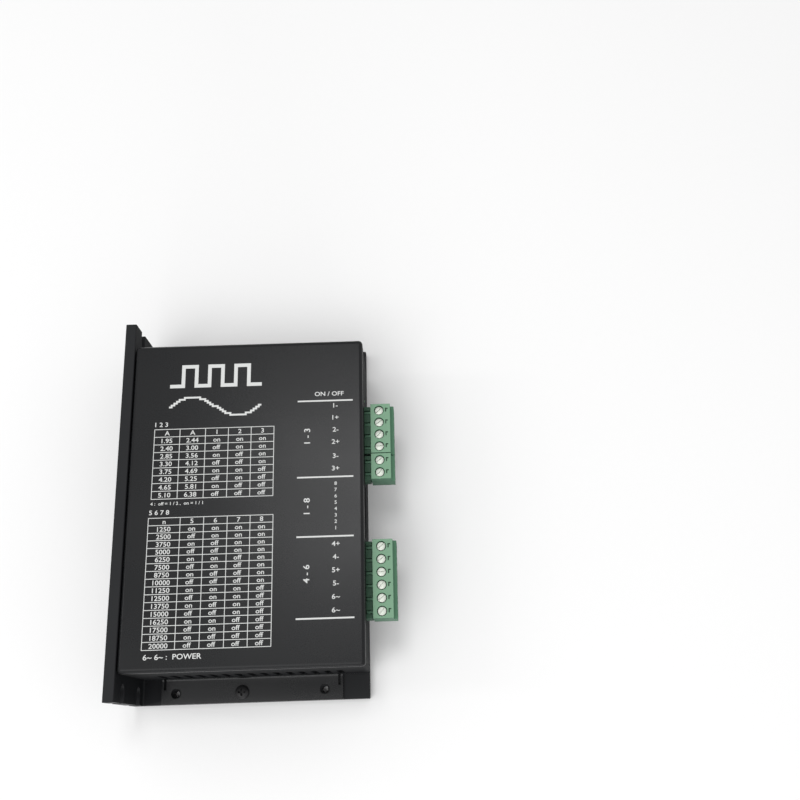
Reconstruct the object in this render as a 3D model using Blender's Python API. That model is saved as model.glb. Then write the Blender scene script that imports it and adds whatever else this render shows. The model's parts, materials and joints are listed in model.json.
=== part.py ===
"""Two-phase stepper motor drive in a flat housing, lying on the base of its heat sink.

Frame: metres, +Z up out of the printed cover, +Y along the long side, +X towards the
terminals. The origin is the centre of the heat sink's back.
"""
import math

import bmesh
import bpy
from mathutils import Matrix, Vector

# ---- driving dimensions -------------------------------------------------------------
LENGTH = 0.151
WIDTH = 0.0978
HEIGHT = 0.048
GAP = 0.0003  # kept between pieces that rest on each other
SEATED = 0.00005  # under a screw's head, pulled down tight
BEYOND = 0.002  # how far a cutting shape passes the face it leaves by
BURIED = 0.0005  # how deep a joined shape starts inside its neighbour
TINY = 1e-6  # for comparing coordinates

# heat sink
BASE_THICK = 0.005
SIDE_THICK = 0.0044
BASE_LOW_EDGE_R = 0.0012
BASE_TOP_EDGE_R = 0.0006
SINK_FILLET = 0.0008
PLATE_CHAMFER = 0.0003
SLOT_WIDTH = 0.005
SLOT_CENTRE_IN = 0.0045  # from the end of the side plate to the slot's centre
SLOT_HEIGHTS = (0.012, 0.036)
FIXING_X = 0.0305
FIXING_IN = 0.0043  # from the end of the base
FIXING_TAPPING_R = 0.00125  # M3 thread in the base plate
FIXING_CLEARANCE_R = 0.0020  # in the cover's tab above it
COVER_SCREW_TAPPING_R = 0.0017
STUD_TAPPING_R = 0.0018
STUD_HOLE_DEPTH = 0.0040

# cover
SHEET = 0.0011
COVER_END_IN = 0.0100  # from the end of the base to the cover's end wall
COVER_OVERHANG = 0.0009  # the long wall's top stands out past the base plate
WALL_LEAN = 0.0199  # how far the long wall leans in for each metre of its height
COVER_BEND_R = 0.0020
COVER_CORNER_R = 0.0016
LEFT_FLANGE_DEPTH = 0.0044
TAB_X = (-0.0366, 0.0380)
TAB_INSIDE_R = 0.0008
RELIEF_IN = 0.0015  # from the tab's edge to the middle of the relief slot
RELIEF_WIDTH = 0.0009
RELIEF_REACH = 0.0042  # out along the tab from the end wall
RELIEF_HEIGHT = 0.0028
COVER_SCREW_X = -0.0034
COVER_SCREW_IN = 0.0040
COVER_SCREW_CLEARANCE_R = 0.0019
VENT_COUNT = 15
VENT_PITCH = 0.00505
VENT_WIDTH = 0.0024
VENT_CENTRE_X = 0.0028
VENT_Z = (0.0100, 0.0290)
WINDOW_MARGIN = 0.00035
WALL_REACH = 0.004  # cutting shapes pass this far to each side of a wall

# fasteners
SHANK_R = 0.0014
COVER_SCREW = (0.0058, 0.0028, 0.0019, 16)  # length, head radius, head height, sides
BOARD_SCREW = (0.0065, 0.0026, 0.0017, 10)
STANDOFF_FLATS = 0.0055
STUD_LENGTH = 0.0035
STANDOFF_TAPPING_R = 0.0017
STANDOFF_TAPPING_DEPTH = 0.0070

# board
BOARD_X = (-0.0360, 0.0464)
BOARD_Y = 0.0600
BOARD_Z = (0.0254, 0.0270)
BOARD_SCREW_X = (-0.0310, 0.0330)
BOARD_SCREW_Y = 0.0555
BOARD_HOLE_R = 0.0018
PIN_SLOT_X = (0.0379, 0.0398)
LEG_SLOT_HALF = 0.0009
SOLDER_TOP = 0.0012  # how far a leg stands out above the board
SMALL_PARTS = (  # centre on the board, size along X and Y, height above the board
    ((0.008, -0.006), (0.014, 0.014), 0.0016),  # controller
    ((-0.010, -0.044), (0.0075, 0.010), 0.0024),  # gate drivers
    ((-0.010, -0.030), (0.0075, 0.010), 0.0024),
    ((-0.010, 0.004), (0.0075, 0.010), 0.0024),
    ((-0.010, 0.018), (0.0075, 0.010), 0.0024),
    ((0.029, 0.012), (0.0065, 0.0045), 0.0034),  # optocouplers
    ((0.029, 0.021), (0.0065, 0.0045), 0.0034),
    ((0.029, 0.030), (0.0065, 0.0045), 0.0034),
    ((0.029, 0.039), (0.0065, 0.0045), 0.0034),
    ((0.030, -0.048), (0.0064, 0.0032), 0.0007),  # current-sensing resistors
    ((0.030, -0.041), (0.0064, 0.0032), 0.0007),
)
SMALL_CANS = ((0.020, -0.020), (0.020, -0.030), (0.024, -0.008))
SMALL_CAN_R = 0.00315
SMALL_CAN_HEIGHT = 0.0076

# output transistors, their pad and their clamp bar
TRANSISTOR_X = (-0.0415, -0.0262)
TRANSISTOR_Z = (0.0061, 0.0105)
TRANSISTOR_HALF = 0.0050
TRANSISTOR_PITCH = 0.0115
TRANSISTOR_COUNT = 8
TRANSISTOR_TAB = (0.0062, 0.0013)  # bare metal tab: length and thickness
LEG_PITCH = 0.00254
LEG_OUT = 0.0030  # from the package to the bend's outside
LEG_RISE = 0.0020
LEG_THICK = 0.0006
LEG_HALF = 0.0004
PAD_MARGIN = 0.0008
BAR_MIDDLE_IN = 0.0055  # from the package's front
BAR_HALF = 0.0040
BAR_THICK = 0.0028
BAR_CHAMFER = 0.0006
BAR_END = 0.0052  # past the row of transistors
BAR_SCREW_HEAD = (0.0027, 0.0019)

# rectifier, large capacitors and inductor
RECTIFIER_X = (0.0110, 0.0310)
RECTIFIER_Z = (0.0053, 0.0099)
RECTIFIER_Y = -0.0330
RECTIFIER_HALF = 0.0150
RECTIFIER_CORNER = 0.0035
RECTIFIER_LEGS = (-0.0125, -0.0025, 0.0050, 0.0125)  # the positive leg stands apart
RECTIFIER_LEG_X = (0.0342, 0.0349)
RECTIFIER_LEG_HALF = 0.0005
RECTIFIER_SCREW = ((0, -0.0010), (0.0027, -0.0010), (0.0027, 0.0011), (0.0022, 0.0018), (0, 0.0020))
CAN_R = 0.0080
CAN_LENGTH = 0.0315
CAN_X = 0.0085
CAN_STARTS = (-0.0450, 0.0190)
CAN_PROFILE = ((0, 0), (0.0068, 0), (CAN_R, 0.0010), (CAN_R, 0.0028), (0.00744, 0.0036), (CAN_R, 0.0044),
               (CAN_R, CAN_LENGTH - 0.0006), (CAN_R - 0.0006, CAN_LENGTH), (0, CAN_LENGTH))
CAN_LEG_X = 0.00375
CAN_LEG_OUT = (0.0012, 0.0020)
DRUM = ((0, 0), (0.0065, 0), (0.0065, 0.0015), (0.0052, 0.0019), (0.0052, 0.0082), (0.0065, 0.0086),
        (0.0065, 0.0101), (0, 0.0101))  # radius and height
DRUM_PLACE = (-0.0095, 0.0400)

# terminals: the pitch drives headers, plugs, screws and clamps
PITCH = 0.00508
TERMINALS = (  # name, ways, centre along Y
    ("signal_a", 4, 0.02983),
    ("signal_b", 2, 0.01381),
    ("power", 6, -0.03160),
)
SCREW_X = 0.05585
PLUG_Z = 0.0264
PLUG_HEIGHT = 0.0124
PIN_Z = 0.0319
HEADER_X = (0.0400, 0.0520)
HEADER_Z = (0.0273, 0.0359)
HEADER_WALL = 0.0009
HEADER_END = 0.0001  # the header stops this much inside the last pitch
RIB_SLOT_DEPTH = 0.0030
PIN_HALF = 0.0005
PIN_BACK_X = 0.0389
PIN_TIP_X = 0.0504
PIN_FOOT = 0.0018  # below the board

# plug, in its own frame: X from the screws' axis, Y from the row's centre, Z from its
# underside. The wire goes in at +X; the nose at -X holds the contacts.
PLUG_BACK = -0.00355
PLUG_FRONT = 0.00455
PLUG_STEP_FRONT = 0.00595
PLUG_STEP_TOP = 0.0078
PLUG_STEP_SLOPE = 0.0004
PLUG_END = 0.00024  # end wall beyond the last pitch
NOSE_TIP = -0.01185
NOSE_Z = (0.0021, 0.0081)
NOSE_END = 0.0013  # the nose stops this much inside the last pitch
RIB_TIP = -0.0062
RIB_TOP = 0.0089
RIB_HALF = 0.0005
CLAMP_X = (-0.00235, 0.00345)
CLAMP_Z = (0.0010, 0.0074)
CLAMP_HALF = 0.0020
CLAMP_WALL, CLAMP_FLOOR, CLAMP_ROOF = 0.0006, 0.0008, 0.0012
CLAMP_TRAVEL = 0.0025
CELL_X = (CLAMP_X[0] - GAP, CLAMP_X[1] + GAP)
CELL_Z = (CLAMP_Z[0] - GAP, CLAMP_Z[1] + CLAMP_TRAVEL + GAP)
CELL_HALF = CLAMP_HALF + 0.0002
WELL_R = 0.0020
WELL_FLOOR = CELL_Z[1] + 0.0005
THROAT_R = 0.00165  # where the screw's shank passes the well's floor
TONGUE_Z = (0.0051, 0.0059)
TONGUE_TIP = 0.0028
TONGUE_HALF = 0.0012
MOUTH_HALF = 0.0018
MOUTH_Z = (0.0015, 0.0053)
MOUTH_FLARE = 0.0006
MOUTH_LEAD = 0.0009  # where the flare begins, behind the front
SOCKET_DEEPER = 0.0008  # past the pin's tip
MARK_X = (WELL_R + 0.0006, WELL_R + 0.0010, WELL_R + 0.0016)
MARK_Y = (-0.0006, 0.0006, 0.0010)
MARK_DEPTH = 0.0008
SCREW_TIP = TONGUE_Z[1] + GAP
SCREW_TIP_R = 0.0010
SCREW_TIP_CHAMFER = 0.0004
SCREW_TAPPING_R = 0.00152
HEAD_R = 0.00175
HEAD_Z = (WELL_FLOOR + 0.00025, WELL_FLOOR + 0.00115)
HEAD_CHAMFER = 0.00015
SLOT_HALF = 0.0003
SLOT_DEPTH = 0.00045
SLOT_ANGLES = (42, 35, 50, 4, 38, 46, 40, 33, 2, 48, 37, 44)

# switch
SWITCH_WAYS = 8
SWITCH_PITCH = 0.00254
SWITCH_END = 0.0006
SWITCH_Y = -0.0038
SWITCH_X = (0.0428, 0.0487)
SWITCH_Z = (0.0273, 0.0369)
SWITCH_CHAMFER = 0.0005
POCKET_DEPTH = 0.0016
POCKET_HEIGHT = 0.0046
POCKET_HALF = 0.0007
SLIDER_TRAVEL = 0.0020
SLIDER_HALF = 0.0005
SLIDER_BACK = 0.0002  # clear of the pocket's floor
SLIDER_FOOT = 0.0008  # thickness of the part that stays in the pocket
SLIDER_SHOULDER = (0.0005, 0.0006)
SLIDER_OUT = 0.0003  # the finger stands out of the housing's face

# lamp, from its back along +X
LAMP_X = 0.0440
LAMP_Y = 0.0437
LAMP_Z = 0.0315
LAMP_R = 0.00145
LAMP_RIM = (0.0004, 0.0010)  # the rim stands out by the first and is this thick
LAMP_BARREL = 0.0041
LAMP_LEG_Y = 0.00089
LAMP_LEG_OUT = (0.0015, 0.0020)
LAMP_WIRE_HALF = 0.00025

END_Y = LENGTH / 2
SIDE_X = WIDTH / 2
PLATE_INNER_X = -SIDE_X + SIDE_THICK
COVER_END_Y = END_Y - COVER_END_IN
COVER_LEFT_X = PLATE_INNER_X + GAP
COVER_RIGHT_X = SIDE_X + COVER_OVERHANG
COVER_BASE_Z = BASE_THICK + GAP


# ---- helpers --------------------------------------------------------------------------
UPRIGHT_TO = {
    "X": Matrix.Rotation(math.pi / 2, 4, "Y"),
    "Y": Matrix.Rotation(-math.pi / 2, 4, "X"),
    "Z": Matrix.Identity(4),
}


def clear_scene():
    for item in list(bpy.data.objects):
        bpy.data.objects.remove(item, do_unlink=True)


def material(name, colour, roughness, metallic=0.0):
    mat = bpy.data.materials.new(name)
    mat.use_nodes = True
    shader = mat.node_tree.nodes["Principled BSDF"]
    shader.inputs["Base Color"].default_value = (*colour, 1.0)
    shader.inputs["Roughness"].default_value = roughness
    shader.inputs["Metallic"].default_value = metallic
    return mat


def add_box(bm, low, high):
    """An axis-aligned box between two corners."""
    low, high = Vector(low), Vector(high)
    place = Matrix.Translation((low + high) / 2) @ Matrix.Diagonal((*(high - low), 1.0))
    bmesh.ops.create_cube(bm, size=1.0, matrix=place)


def add_rod(bm, place, radius, low, high, axis="Z", segments=16):
    """A cylinder from low to high along one axis. The place's two numbers are the other
    two axes in X, Y, Z order."""
    centre = list(place)
    centre.insert("XYZ".index(axis), (low + high) / 2)
    bmesh.ops.create_cone(bm, cap_ends=True, segments=segments, radius1=radius, radius2=radius,
                          depth=high - low, matrix=Matrix.Translation(centre) @ UPRIGHT_TO[axis])


def add_prism(bm, outline, axis, low, high):
    """A flat outline extruded along one axis. The outline's two numbers are the other
    two axes in X, Y, Z order."""
    index = "XYZ".index(axis)

    def point(pair, along):
        values = list(pair)
        values.insert(index, along)
        return values

    face = bm.faces.new([bm.verts.new(point(pair, low)) for pair in outline])
    swept = bmesh.ops.extrude_face_region(bm, geom=[face])["geom"]
    moved = [item for item in swept if isinstance(item, bmesh.types.BMVert)]
    shift = Vector((0, 0, 0))
    shift[index] = high - low
    bmesh.ops.translate(bm, verts=moved, vec=shift)


def add_lathe(bm, profile, centre, axis="Z", segments=16):
    """A profile of (radius, height) pairs, both ends on the axis, turned once."""
    place = Matrix.Translation(centre) @ UPRIGHT_TO[axis]
    angles = [2 * math.pi * step / segments for step in range(segments)]
    rings = []
    for radius, height in profile:
        if radius == 0:
            rings.append([bm.verts.new(place @ Vector((0, 0, height)))])
            continue
        points = [Vector((radius * math.cos(a), radius * math.sin(a), height)) for a in angles]
        rings.append([bm.verts.new(place @ point) for point in points])
    for lower, upper in zip(rings, rings[1:]):
        for step in range(segments):
            following = (step + 1) % segments
            corners = [lower[step % len(lower)], lower[following % len(lower)],
                       upper[following % len(upper)], upper[step % len(upper)]]
            bm.faces.new(list(dict.fromkeys(corners)))


def arc(centre, radius, start, stop, steps):
    """Points on an arc, angles in degrees, both ends included."""
    angles = [math.radians(start + (stop - start) * step / steps) for step in range(steps + 1)]
    return [(centre[0] + radius * math.cos(a), centre[1] + radius * math.sin(a)) for a in angles]


def finish(name, bm, mat=None, location=(0, 0, 0), parent=None, smooth=False):
    """Turn a bmesh into an object at a place, optionally under a parent."""
    bmesh.ops.recalc_face_normals(bm, faces=bm.faces)
    mesh = bpy.data.meshes.new(name)
    bm.to_mesh(mesh)
    bm.free()
    if mat:
        mesh.materials.append(mat)
    if smooth:
        mesh.shade_smooth()
        mesh.set_sharp_from_angle(angle=math.radians(40))
    return place_object(name, mesh, location, parent)


def place_object(name, mesh, location=(0, 0, 0), parent=None):
    item = bpy.data.objects.new(name, mesh)
    bpy.context.scene.collection.objects.link(item)
    item.location = location
    item.parent = parent
    return item


def combine(target, name, build, operation="DIFFERENCE", overlapping=False):
    """Cut away or join the shapes that build(bm) adds, in the target's own frame."""
    bm = bmesh.new()
    build(bm)
    tool = finish(f"{target.name}_{name}", bm, location=target.location, parent=target.parent)
    tool.hide_render = True
    tool.hide_viewport = True
    tool.display_type = "WIRE"
    step = target.modifiers.new(name, "BOOLEAN")
    step.operation = operation
    step.object = tool
    step.use_self = overlapping
    return step


def bevel_edges(bm, chosen, width, segments):
    """Round the edges for which chosen(middle, direction) is true."""
    picked = []
    for edge in bm.edges:
        first, last = edge.verts[0].co, edge.verts[1].co
        if chosen((first + last) / 2, (last - first).normalized()):
            picked.append(edge)
    bmesh.ops.bevel(bm, geom=picked, offset=width, segments=segments, profile=0.5,
                    affect="EDGES", clamp_overlap=True)


# ---- heat sink --------------------------------------------------------------------------
def heat_sink():
    """L-shaped extrusion: base plate and one side plate, cut and drilled after sawing."""
    outline = [(-SIDE_X, 0.0)]
    outline += arc((SIDE_X - BASE_LOW_EDGE_R, BASE_LOW_EDGE_R), BASE_LOW_EDGE_R, -90, 0, 3)
    outline += arc((SIDE_X - BASE_TOP_EDGE_R, BASE_THICK - BASE_TOP_EDGE_R), BASE_TOP_EDGE_R, 0, 90, 2)
    outline += arc((PLATE_INNER_X + SINK_FILLET, BASE_THICK + SINK_FILLET), SINK_FILLET, 270, 180, 2)
    outline += [(PLATE_INNER_X, HEIGHT - PLATE_CHAMFER), (PLATE_INNER_X - PLATE_CHAMFER, HEIGHT)]
    outline += [(-SIDE_X + PLATE_CHAMFER, HEIGHT), (-SIDE_X, HEIGHT - PLATE_CHAMFER)]
    bm = bmesh.new()
    add_prism(bm, outline, "Y", -END_Y, END_Y)
    mat = material("anodised_aluminium", (0.035, 0.037, 0.04), 0.42, 0.85)
    sink = finish("heat_sink", bm, mat)
    combine(sink, "side_slots", side_slots)
    combine(sink, "drilled_holes", drilled_holes)


def side_slots(bm):
    """Open-ended slots with a round bottom, two at each end of the side plate."""
    half = SLOT_WIDTH / 2
    for height in SLOT_HEIGHTS:
        for end in (-1, 1):
            outline = arc((END_Y - SLOT_CENTRE_IN, height), half, 270, 90, 8)
            outline += [(END_Y + BEYOND, height + half), (END_Y + BEYOND, height - half)]
            outline = [(end * y, z) for y, z in outline]
            add_prism(bm, outline, "X", -SIDE_X - BEYOND, PLATE_INNER_X + BEYOND)


def drilled_holes(bm):
    """Tapped holes. Those for the fixing screws and the cover's screws go right through;
    those for the standoffs are blind."""
    through = (-BEYOND, BASE_THICK + BEYOND)
    for end in (-1, 1):
        for x in (-FIXING_X, FIXING_X):
            add_rod(bm, (x, end * (END_Y - FIXING_IN)), FIXING_TAPPING_R, *through)
        add_rod(bm, (COVER_SCREW_X, end * (END_Y - COVER_SCREW_IN)), COVER_SCREW_TAPPING_R, *through,
                segments=8)
        for x in BOARD_SCREW_X:
            add_rod(bm, (x, end * BOARD_SCREW_Y), STUD_TAPPING_R, BASE_THICK - STUD_HOLE_DEPTH, through[1],
                    segments=8)


# ---- cover ------------------------------------------------------------------------------
def cover():
    """Painted sheet pan: long side with windows, two vented ends with mounting tabs, and a
    narrow flange beside the heat sink's plate."""
    low = Vector((COVER_LEFT_X, -COVER_END_Y, COVER_BASE_Z))
    high = Vector((COVER_RIGHT_X, COVER_END_Y, HEIGHT))
    bm = bmesh.new()
    add_pan(bm, low, high, COVER_BEND_R, COVER_CORNER_R, 4)
    pan = finish("cover", bm, material("painted_sheet", (0.06, 0.06, 0.062), 0.38, 0.2), smooth=True)

    def hollow(bm):
        inner_low = Vector((low.x + SHEET, low.y + SHEET, 0.0))
        inner_high = high - Vector((SHEET, SHEET, SHEET))
        add_pan(bm, inner_low, inner_high, COVER_BEND_R - SHEET, COVER_CORNER_R - SHEET * 0.7, 3)

    combine(pan, "inside", hollow)
    combine(pan, "open_left_side", left_opening)
    combine(pan, "mounting_tabs", mounting_tabs, "UNION")
    combine(pan, "end_cuts", end_cuts)
    combine(pan, "side_windows", side_windows)


def add_pan(bm, low, high, bend_r, corner_r, segments):
    """A box whose right wall leans in towards its foot, with rounded upright corners and
    rounded bends round its top face."""
    add_box(bm, low, high)
    foot = [vert for vert in bm.verts if vert.co.x > high.x - TINY and vert.co.z < high.z - TINY]
    bmesh.ops.translate(bm, verts=foot, vec=(-WALL_LEAN * (high.z - low.z), 0, 0))
    bevel_edges(bm, lambda middle, way: abs(way.z) > 0.9, corner_r, segments)
    bevel_edges(bm, lambda middle, way: middle.z > high.z - TINY and abs(way.z) < 0.1, bend_r, segments)


def left_opening(bm):
    """The wall beside the heat sink's plate is only a narrow flange."""
    reach = COVER_END_Y - COVER_CORNER_R
    add_box(bm, (COVER_LEFT_X - BEYOND, -reach, 0.0),
            (COVER_LEFT_X + WALL_REACH, reach, HEIGHT - LEFT_FLANGE_DEPTH))


def mounting_tabs(bm):
    """Each end wall turns outwards into a tab that lies on the base plate. The profile
    starts inside the wall and goes round the bend."""
    bend = (COVER_END_Y + TAB_INSIDE_R, COVER_BASE_Z + SHEET + TAB_INSIDE_R)
    profile = [(COVER_END_Y - SHEET / 2, bend[1])]
    profile += arc(bend, TAB_INSIDE_R + SHEET, 225, 270, 3)
    profile += [(END_Y, COVER_BASE_Z), (END_Y, COVER_BASE_Z + SHEET)]
    profile += arc(bend, TAB_INSIDE_R, 270, 190, 3)
    for end in (-1, 1):
        add_prism(bm, [(end * y, z) for y, z in profile], "X", *TAB_X)


def end_cuts(bm):
    """Vent slots, holes in the tabs, and the relief slots across the tabs' bends."""
    half = VENT_WIDTH / 2
    low, high = VENT_Z
    first = VENT_CENTRE_X - VENT_PITCH * (VENT_COUNT - 1) / 2
    tab = (COVER_BASE_Z - BEYOND, COVER_BASE_Z + SHEET + BEYOND)
    for end in (-1, 1):
        wall = sorted((end * (COVER_END_Y - WALL_REACH), end * (COVER_END_Y + WALL_REACH)))
        for number in range(VENT_COUNT):
            x = first + VENT_PITCH * number
            outline = arc((x, high - half), half, 0, 180, 3) + arc((x, low + half), half, 180, 360, 3)
            add_prism(bm, outline, "Y", *wall)
        for x in (-FIXING_X, FIXING_X):
            add_rod(bm, (x, end * (END_Y - FIXING_IN)), FIXING_CLEARANCE_R, *tab)
        add_rod(bm, (COVER_SCREW_X, end * (END_Y - COVER_SCREW_IN)), COVER_SCREW_CLEARANCE_R, *tab,
                segments=12)
        near, far = sorted((end * (COVER_END_Y - WALL_REACH), end * (COVER_END_Y + RELIEF_REACH)))
        for x in (TAB_X[0] + RELIEF_IN, TAB_X[1] - RELIEF_IN):
            add_box(bm, (x - RELIEF_WIDTH / 2, near, 0.0),
                    (x + RELIEF_WIDTH / 2, far, COVER_BASE_Z + RELIEF_HEIGHT))


def side_windows(bm):
    """Windows that clear the headers, the switch and the lamp."""
    inner, outer = COVER_RIGHT_X - WALL_REACH, COVER_RIGHT_X + BEYOND
    windows = [(centre, header_half(ways), HEADER_Z) for name, ways, centre in TERMINALS]
    windows += [(SWITCH_Y, switch_half(), SWITCH_Z)]
    for centre, half, (low, high) in windows:
        add_box(bm, (inner, centre - half - WINDOW_MARGIN, low - WINDOW_MARGIN),
                (outer, centre + half + WINDOW_MARGIN, high + WINDOW_MARGIN))
    add_rod(bm, (LAMP_Y, LAMP_Z), LAMP_R + WINDOW_MARGIN, inner, outer, axis="X", segments=20)


# ---- fasteners --------------------------------------------------------------------------
def baked(item):
    """The object's mesh with its modifiers applied; the object and its tools go."""
    graph = bpy.context.evaluated_depsgraph_get()
    graph.update()
    mesh = bpy.data.meshes.new_from_object(item.evaluated_get(graph))
    tools = [step.object for step in item.modifiers]
    for extra in [*tools, item]:
        bpy.data.objects.remove(extra, do_unlink=True)
    return mesh


def pan_screw_mesh(length, head_r, head_height, segments, mat):
    """M3 pan-head screw with a cross recess, its origin under the head."""
    dome = [(head_r * math.cos(math.radians(a)), head_height * (0.45 + 0.55 * math.sin(math.radians(a))))
            for a in (0, 30, 55)]
    profile = [(0, -length), (SHANK_R * 0.8, -length), (SHANK_R, SCREW_TIP_CHAMFER - length), (SHANK_R, 0),
               (head_r * 0.97, 0), *dome, (0, head_height)]
    bm = bmesh.new()
    add_lathe(bm, profile, (0, 0, 0), segments=segments)
    screw = finish("pan_screw", bm, mat, smooth=True)
    arm, half, depth = head_r * 0.52, head_r * 0.15, head_height * 0.55

    def recess(bm):
        corner = [(half, half), (half, arm), (-half, arm)]
        outline = []
        for turn in range(4):
            outline += corner
            corner = [(-y, x) for x, y in corner]
        add_prism(bm, list(dict.fromkeys(outline)), "Z", head_height - depth, head_height + BEYOND)

    combine(screw, "cross_recess", recess)
    return baked(screw)


def cover_screws(mat):
    mesh = pan_screw_mesh(*COVER_SCREW, mat)
    seat = COVER_BASE_Z + SHEET + SEATED
    for place, end in (("near", -1), ("far", 1)):
        place_object(f"cover_screw_{place}", mesh, (COVER_SCREW_X, end * (END_Y - COVER_SCREW_IN), seat))


def board_supports(brass, steel):
    """Hexagonal standoffs with a stud in the base plate and a tapped top, and the screws
    that hold the board down on them."""
    top = BOARD_Z[0] - GAP
    screw = pan_screw_mesh(*BOARD_SCREW, steel)
    corners = [(x, y) for y in (-BOARD_SCREW_Y, BOARD_SCREW_Y) for x in BOARD_SCREW_X]
    bm = bmesh.new()
    add_rod(bm, (0, 0), STANDOFF_FLATS / math.sqrt(3), COVER_BASE_Z, top, segments=6)
    pillar = finish("pillar", bm, brass)
    combine(pillar, "stud", lambda bm: add_rod(
        bm, (0, 0), SHANK_R, BASE_THICK - STUD_LENGTH, COVER_BASE_Z + BEYOND, segments=8), "UNION")
    combine(pillar, "tapping", lambda bm: add_rod(
        bm, (0, 0), STANDOFF_TAPPING_R, top - STANDOFF_TAPPING_DEPTH, top + BEYOND, segments=8))
    mesh = baked(pillar)
    for number, (x, y) in enumerate(corners, 1):
        place_object(f"standoff_{number}", mesh, (x, y, 0))
        place_object(f"board_screw_{number}", screw, (x, y, BOARD_Z[1] + SEATED))


# ---- inside -----------------------------------------------------------------------------
def main_board(mat):
    """Glass-fibre board with its soldered small parts and the row of output transistors
    whose legs come up through it."""
    bm = bmesh.new()
    add_box(bm, (BOARD_X[0], -BOARD_Y, BOARD_Z[0]), (BOARD_X[1], BOARD_Y, BOARD_Z[1]))
    board = finish("main_board", bm, mat)
    low, high = BOARD_Z[0] - BEYOND, BOARD_Z[1] + BEYOND

    def drilling(bm):
        for x in BOARD_SCREW_X:
            for y in (-BOARD_SCREW_Y, BOARD_SCREW_Y):
                add_rod(bm, (x, y), BOARD_HOLE_R, low, high, segments=8)
        slots = [(PIN_SLOT_X, centre + y) for name, ways, centre in TERMINALS for y in pole_places(ways)]
        leg_slot = (RECTIFIER_LEG_X[0] - GAP, RECTIFIER_LEG_X[1] + GAP)
        slots += [(leg_slot, RECTIFIER_Y + leg) for leg in RECTIFIER_LEGS]
        for (left, right), y in slots:
            add_box(bm, (left, y - LEG_SLOT_HALF, low), (right, y + LEG_SLOT_HALF, high))

    def small_parts(bm):
        foot = BOARD_Z[1] - BURIED
        for (x, y), (across, along), height in SMALL_PARTS:
            add_box(bm, (x - across / 2, y - along / 2, foot),
                    (x + across / 2, y + along / 2, BOARD_Z[1] + height))
        for place in SMALL_CANS:
            add_rod(bm, place, SMALL_CAN_R, foot, BOARD_Z[1] + SMALL_CAN_HEIGHT, segments=12)

    combine(board, "drilling", drilling)
    combine(board, "small_parts", small_parts, "UNION")
    combine(board, "transistors", transistors, "UNION", overlapping=True)


def transistors(bm):
    """Flat packages on the base plate; each leg runs out and bends up through the board."""
    (back, front), (foot, top) = TRANSISTOR_X, TRANSISTOR_Z
    tab, thin = TRANSISTOR_TAB
    package = [(back, foot), (front, foot), (front, top), (back + tab, top), (back + tab, foot + thin),
               (back, foot + thin)]
    outer, inner = front + LEG_OUT, front + LEG_OUT - LEG_THICK
    low, tip = foot + LEG_RISE, BOARD_Z[1] + SOLDER_TOP
    leg = [(front - BURIED, low), (outer, low), (outer, tip), (inner, tip), (inner, low + LEG_THICK),
           (front - BURIED, low + LEG_THICK)]
    for number in range(TRANSISTOR_COUNT):
        y = TRANSISTOR_PITCH * (number - (TRANSISTOR_COUNT - 1) / 2)
        add_prism(bm, package, "Y", y - TRANSISTOR_HALF, y + TRANSISTOR_HALF)
        for side in (-LEG_PITCH, 0, LEG_PITCH):
            add_prism(bm, leg, "Y", y + side - LEG_HALF, y + side + LEG_HALF)


def transistor_clamping():
    """Insulating pad under the transistors and the bar that presses them down."""
    reach = TRANSISTOR_PITCH * TRANSISTOR_COUNT / 2
    bm = bmesh.new()
    add_box(bm, (TRANSISTOR_X[0] - PAD_MARGIN, -reach, BASE_THICK + GAP),
            (TRANSISTOR_X[1] + PAD_MARGIN, reach, TRANSISTOR_Z[0] - GAP))
    finish("thermal_pad", bm, material("silicone_pad", (0.42, 0.44, 0.46), 0.8))
    low = TRANSISTOR_Z[1] + GAP
    top = low + BAR_THICK
    middle = TRANSISTOR_X[1] - BAR_MIDDLE_IN
    left, right = middle - BAR_HALF, middle + BAR_HALF
    outline = [(left, low), (right, low), (right, top - BAR_CHAMFER), (right - BAR_CHAMFER, top),
               (left + BAR_CHAMFER, top), (left, top - BAR_CHAMFER)]
    bm = bmesh.new()
    add_prism(bm, outline, "Y", -reach - BAR_END, reach + BAR_END)
    bar = finish("clamp_bar", bm, material("steel_bar", (0.55, 0.56, 0.57), 0.4, 0.9))

    def screws(bm):
        """The bar's own two screws: heads on top, shanks down to the base plate."""
        head_r, head_height = BAR_SCREW_HEAD
        for end in (-1, 1):
            place = (middle, end * (reach + BAR_END / 2))
            add_rod(bm, place, head_r, top - BURIED, top + head_height, segments=12)
            add_rod(bm, place, SHANK_R, BASE_THICK + 2 * GAP, low + BURIED, segments=8)

    combine(bar, "screws", screws, "UNION", overlapping=True)


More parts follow.
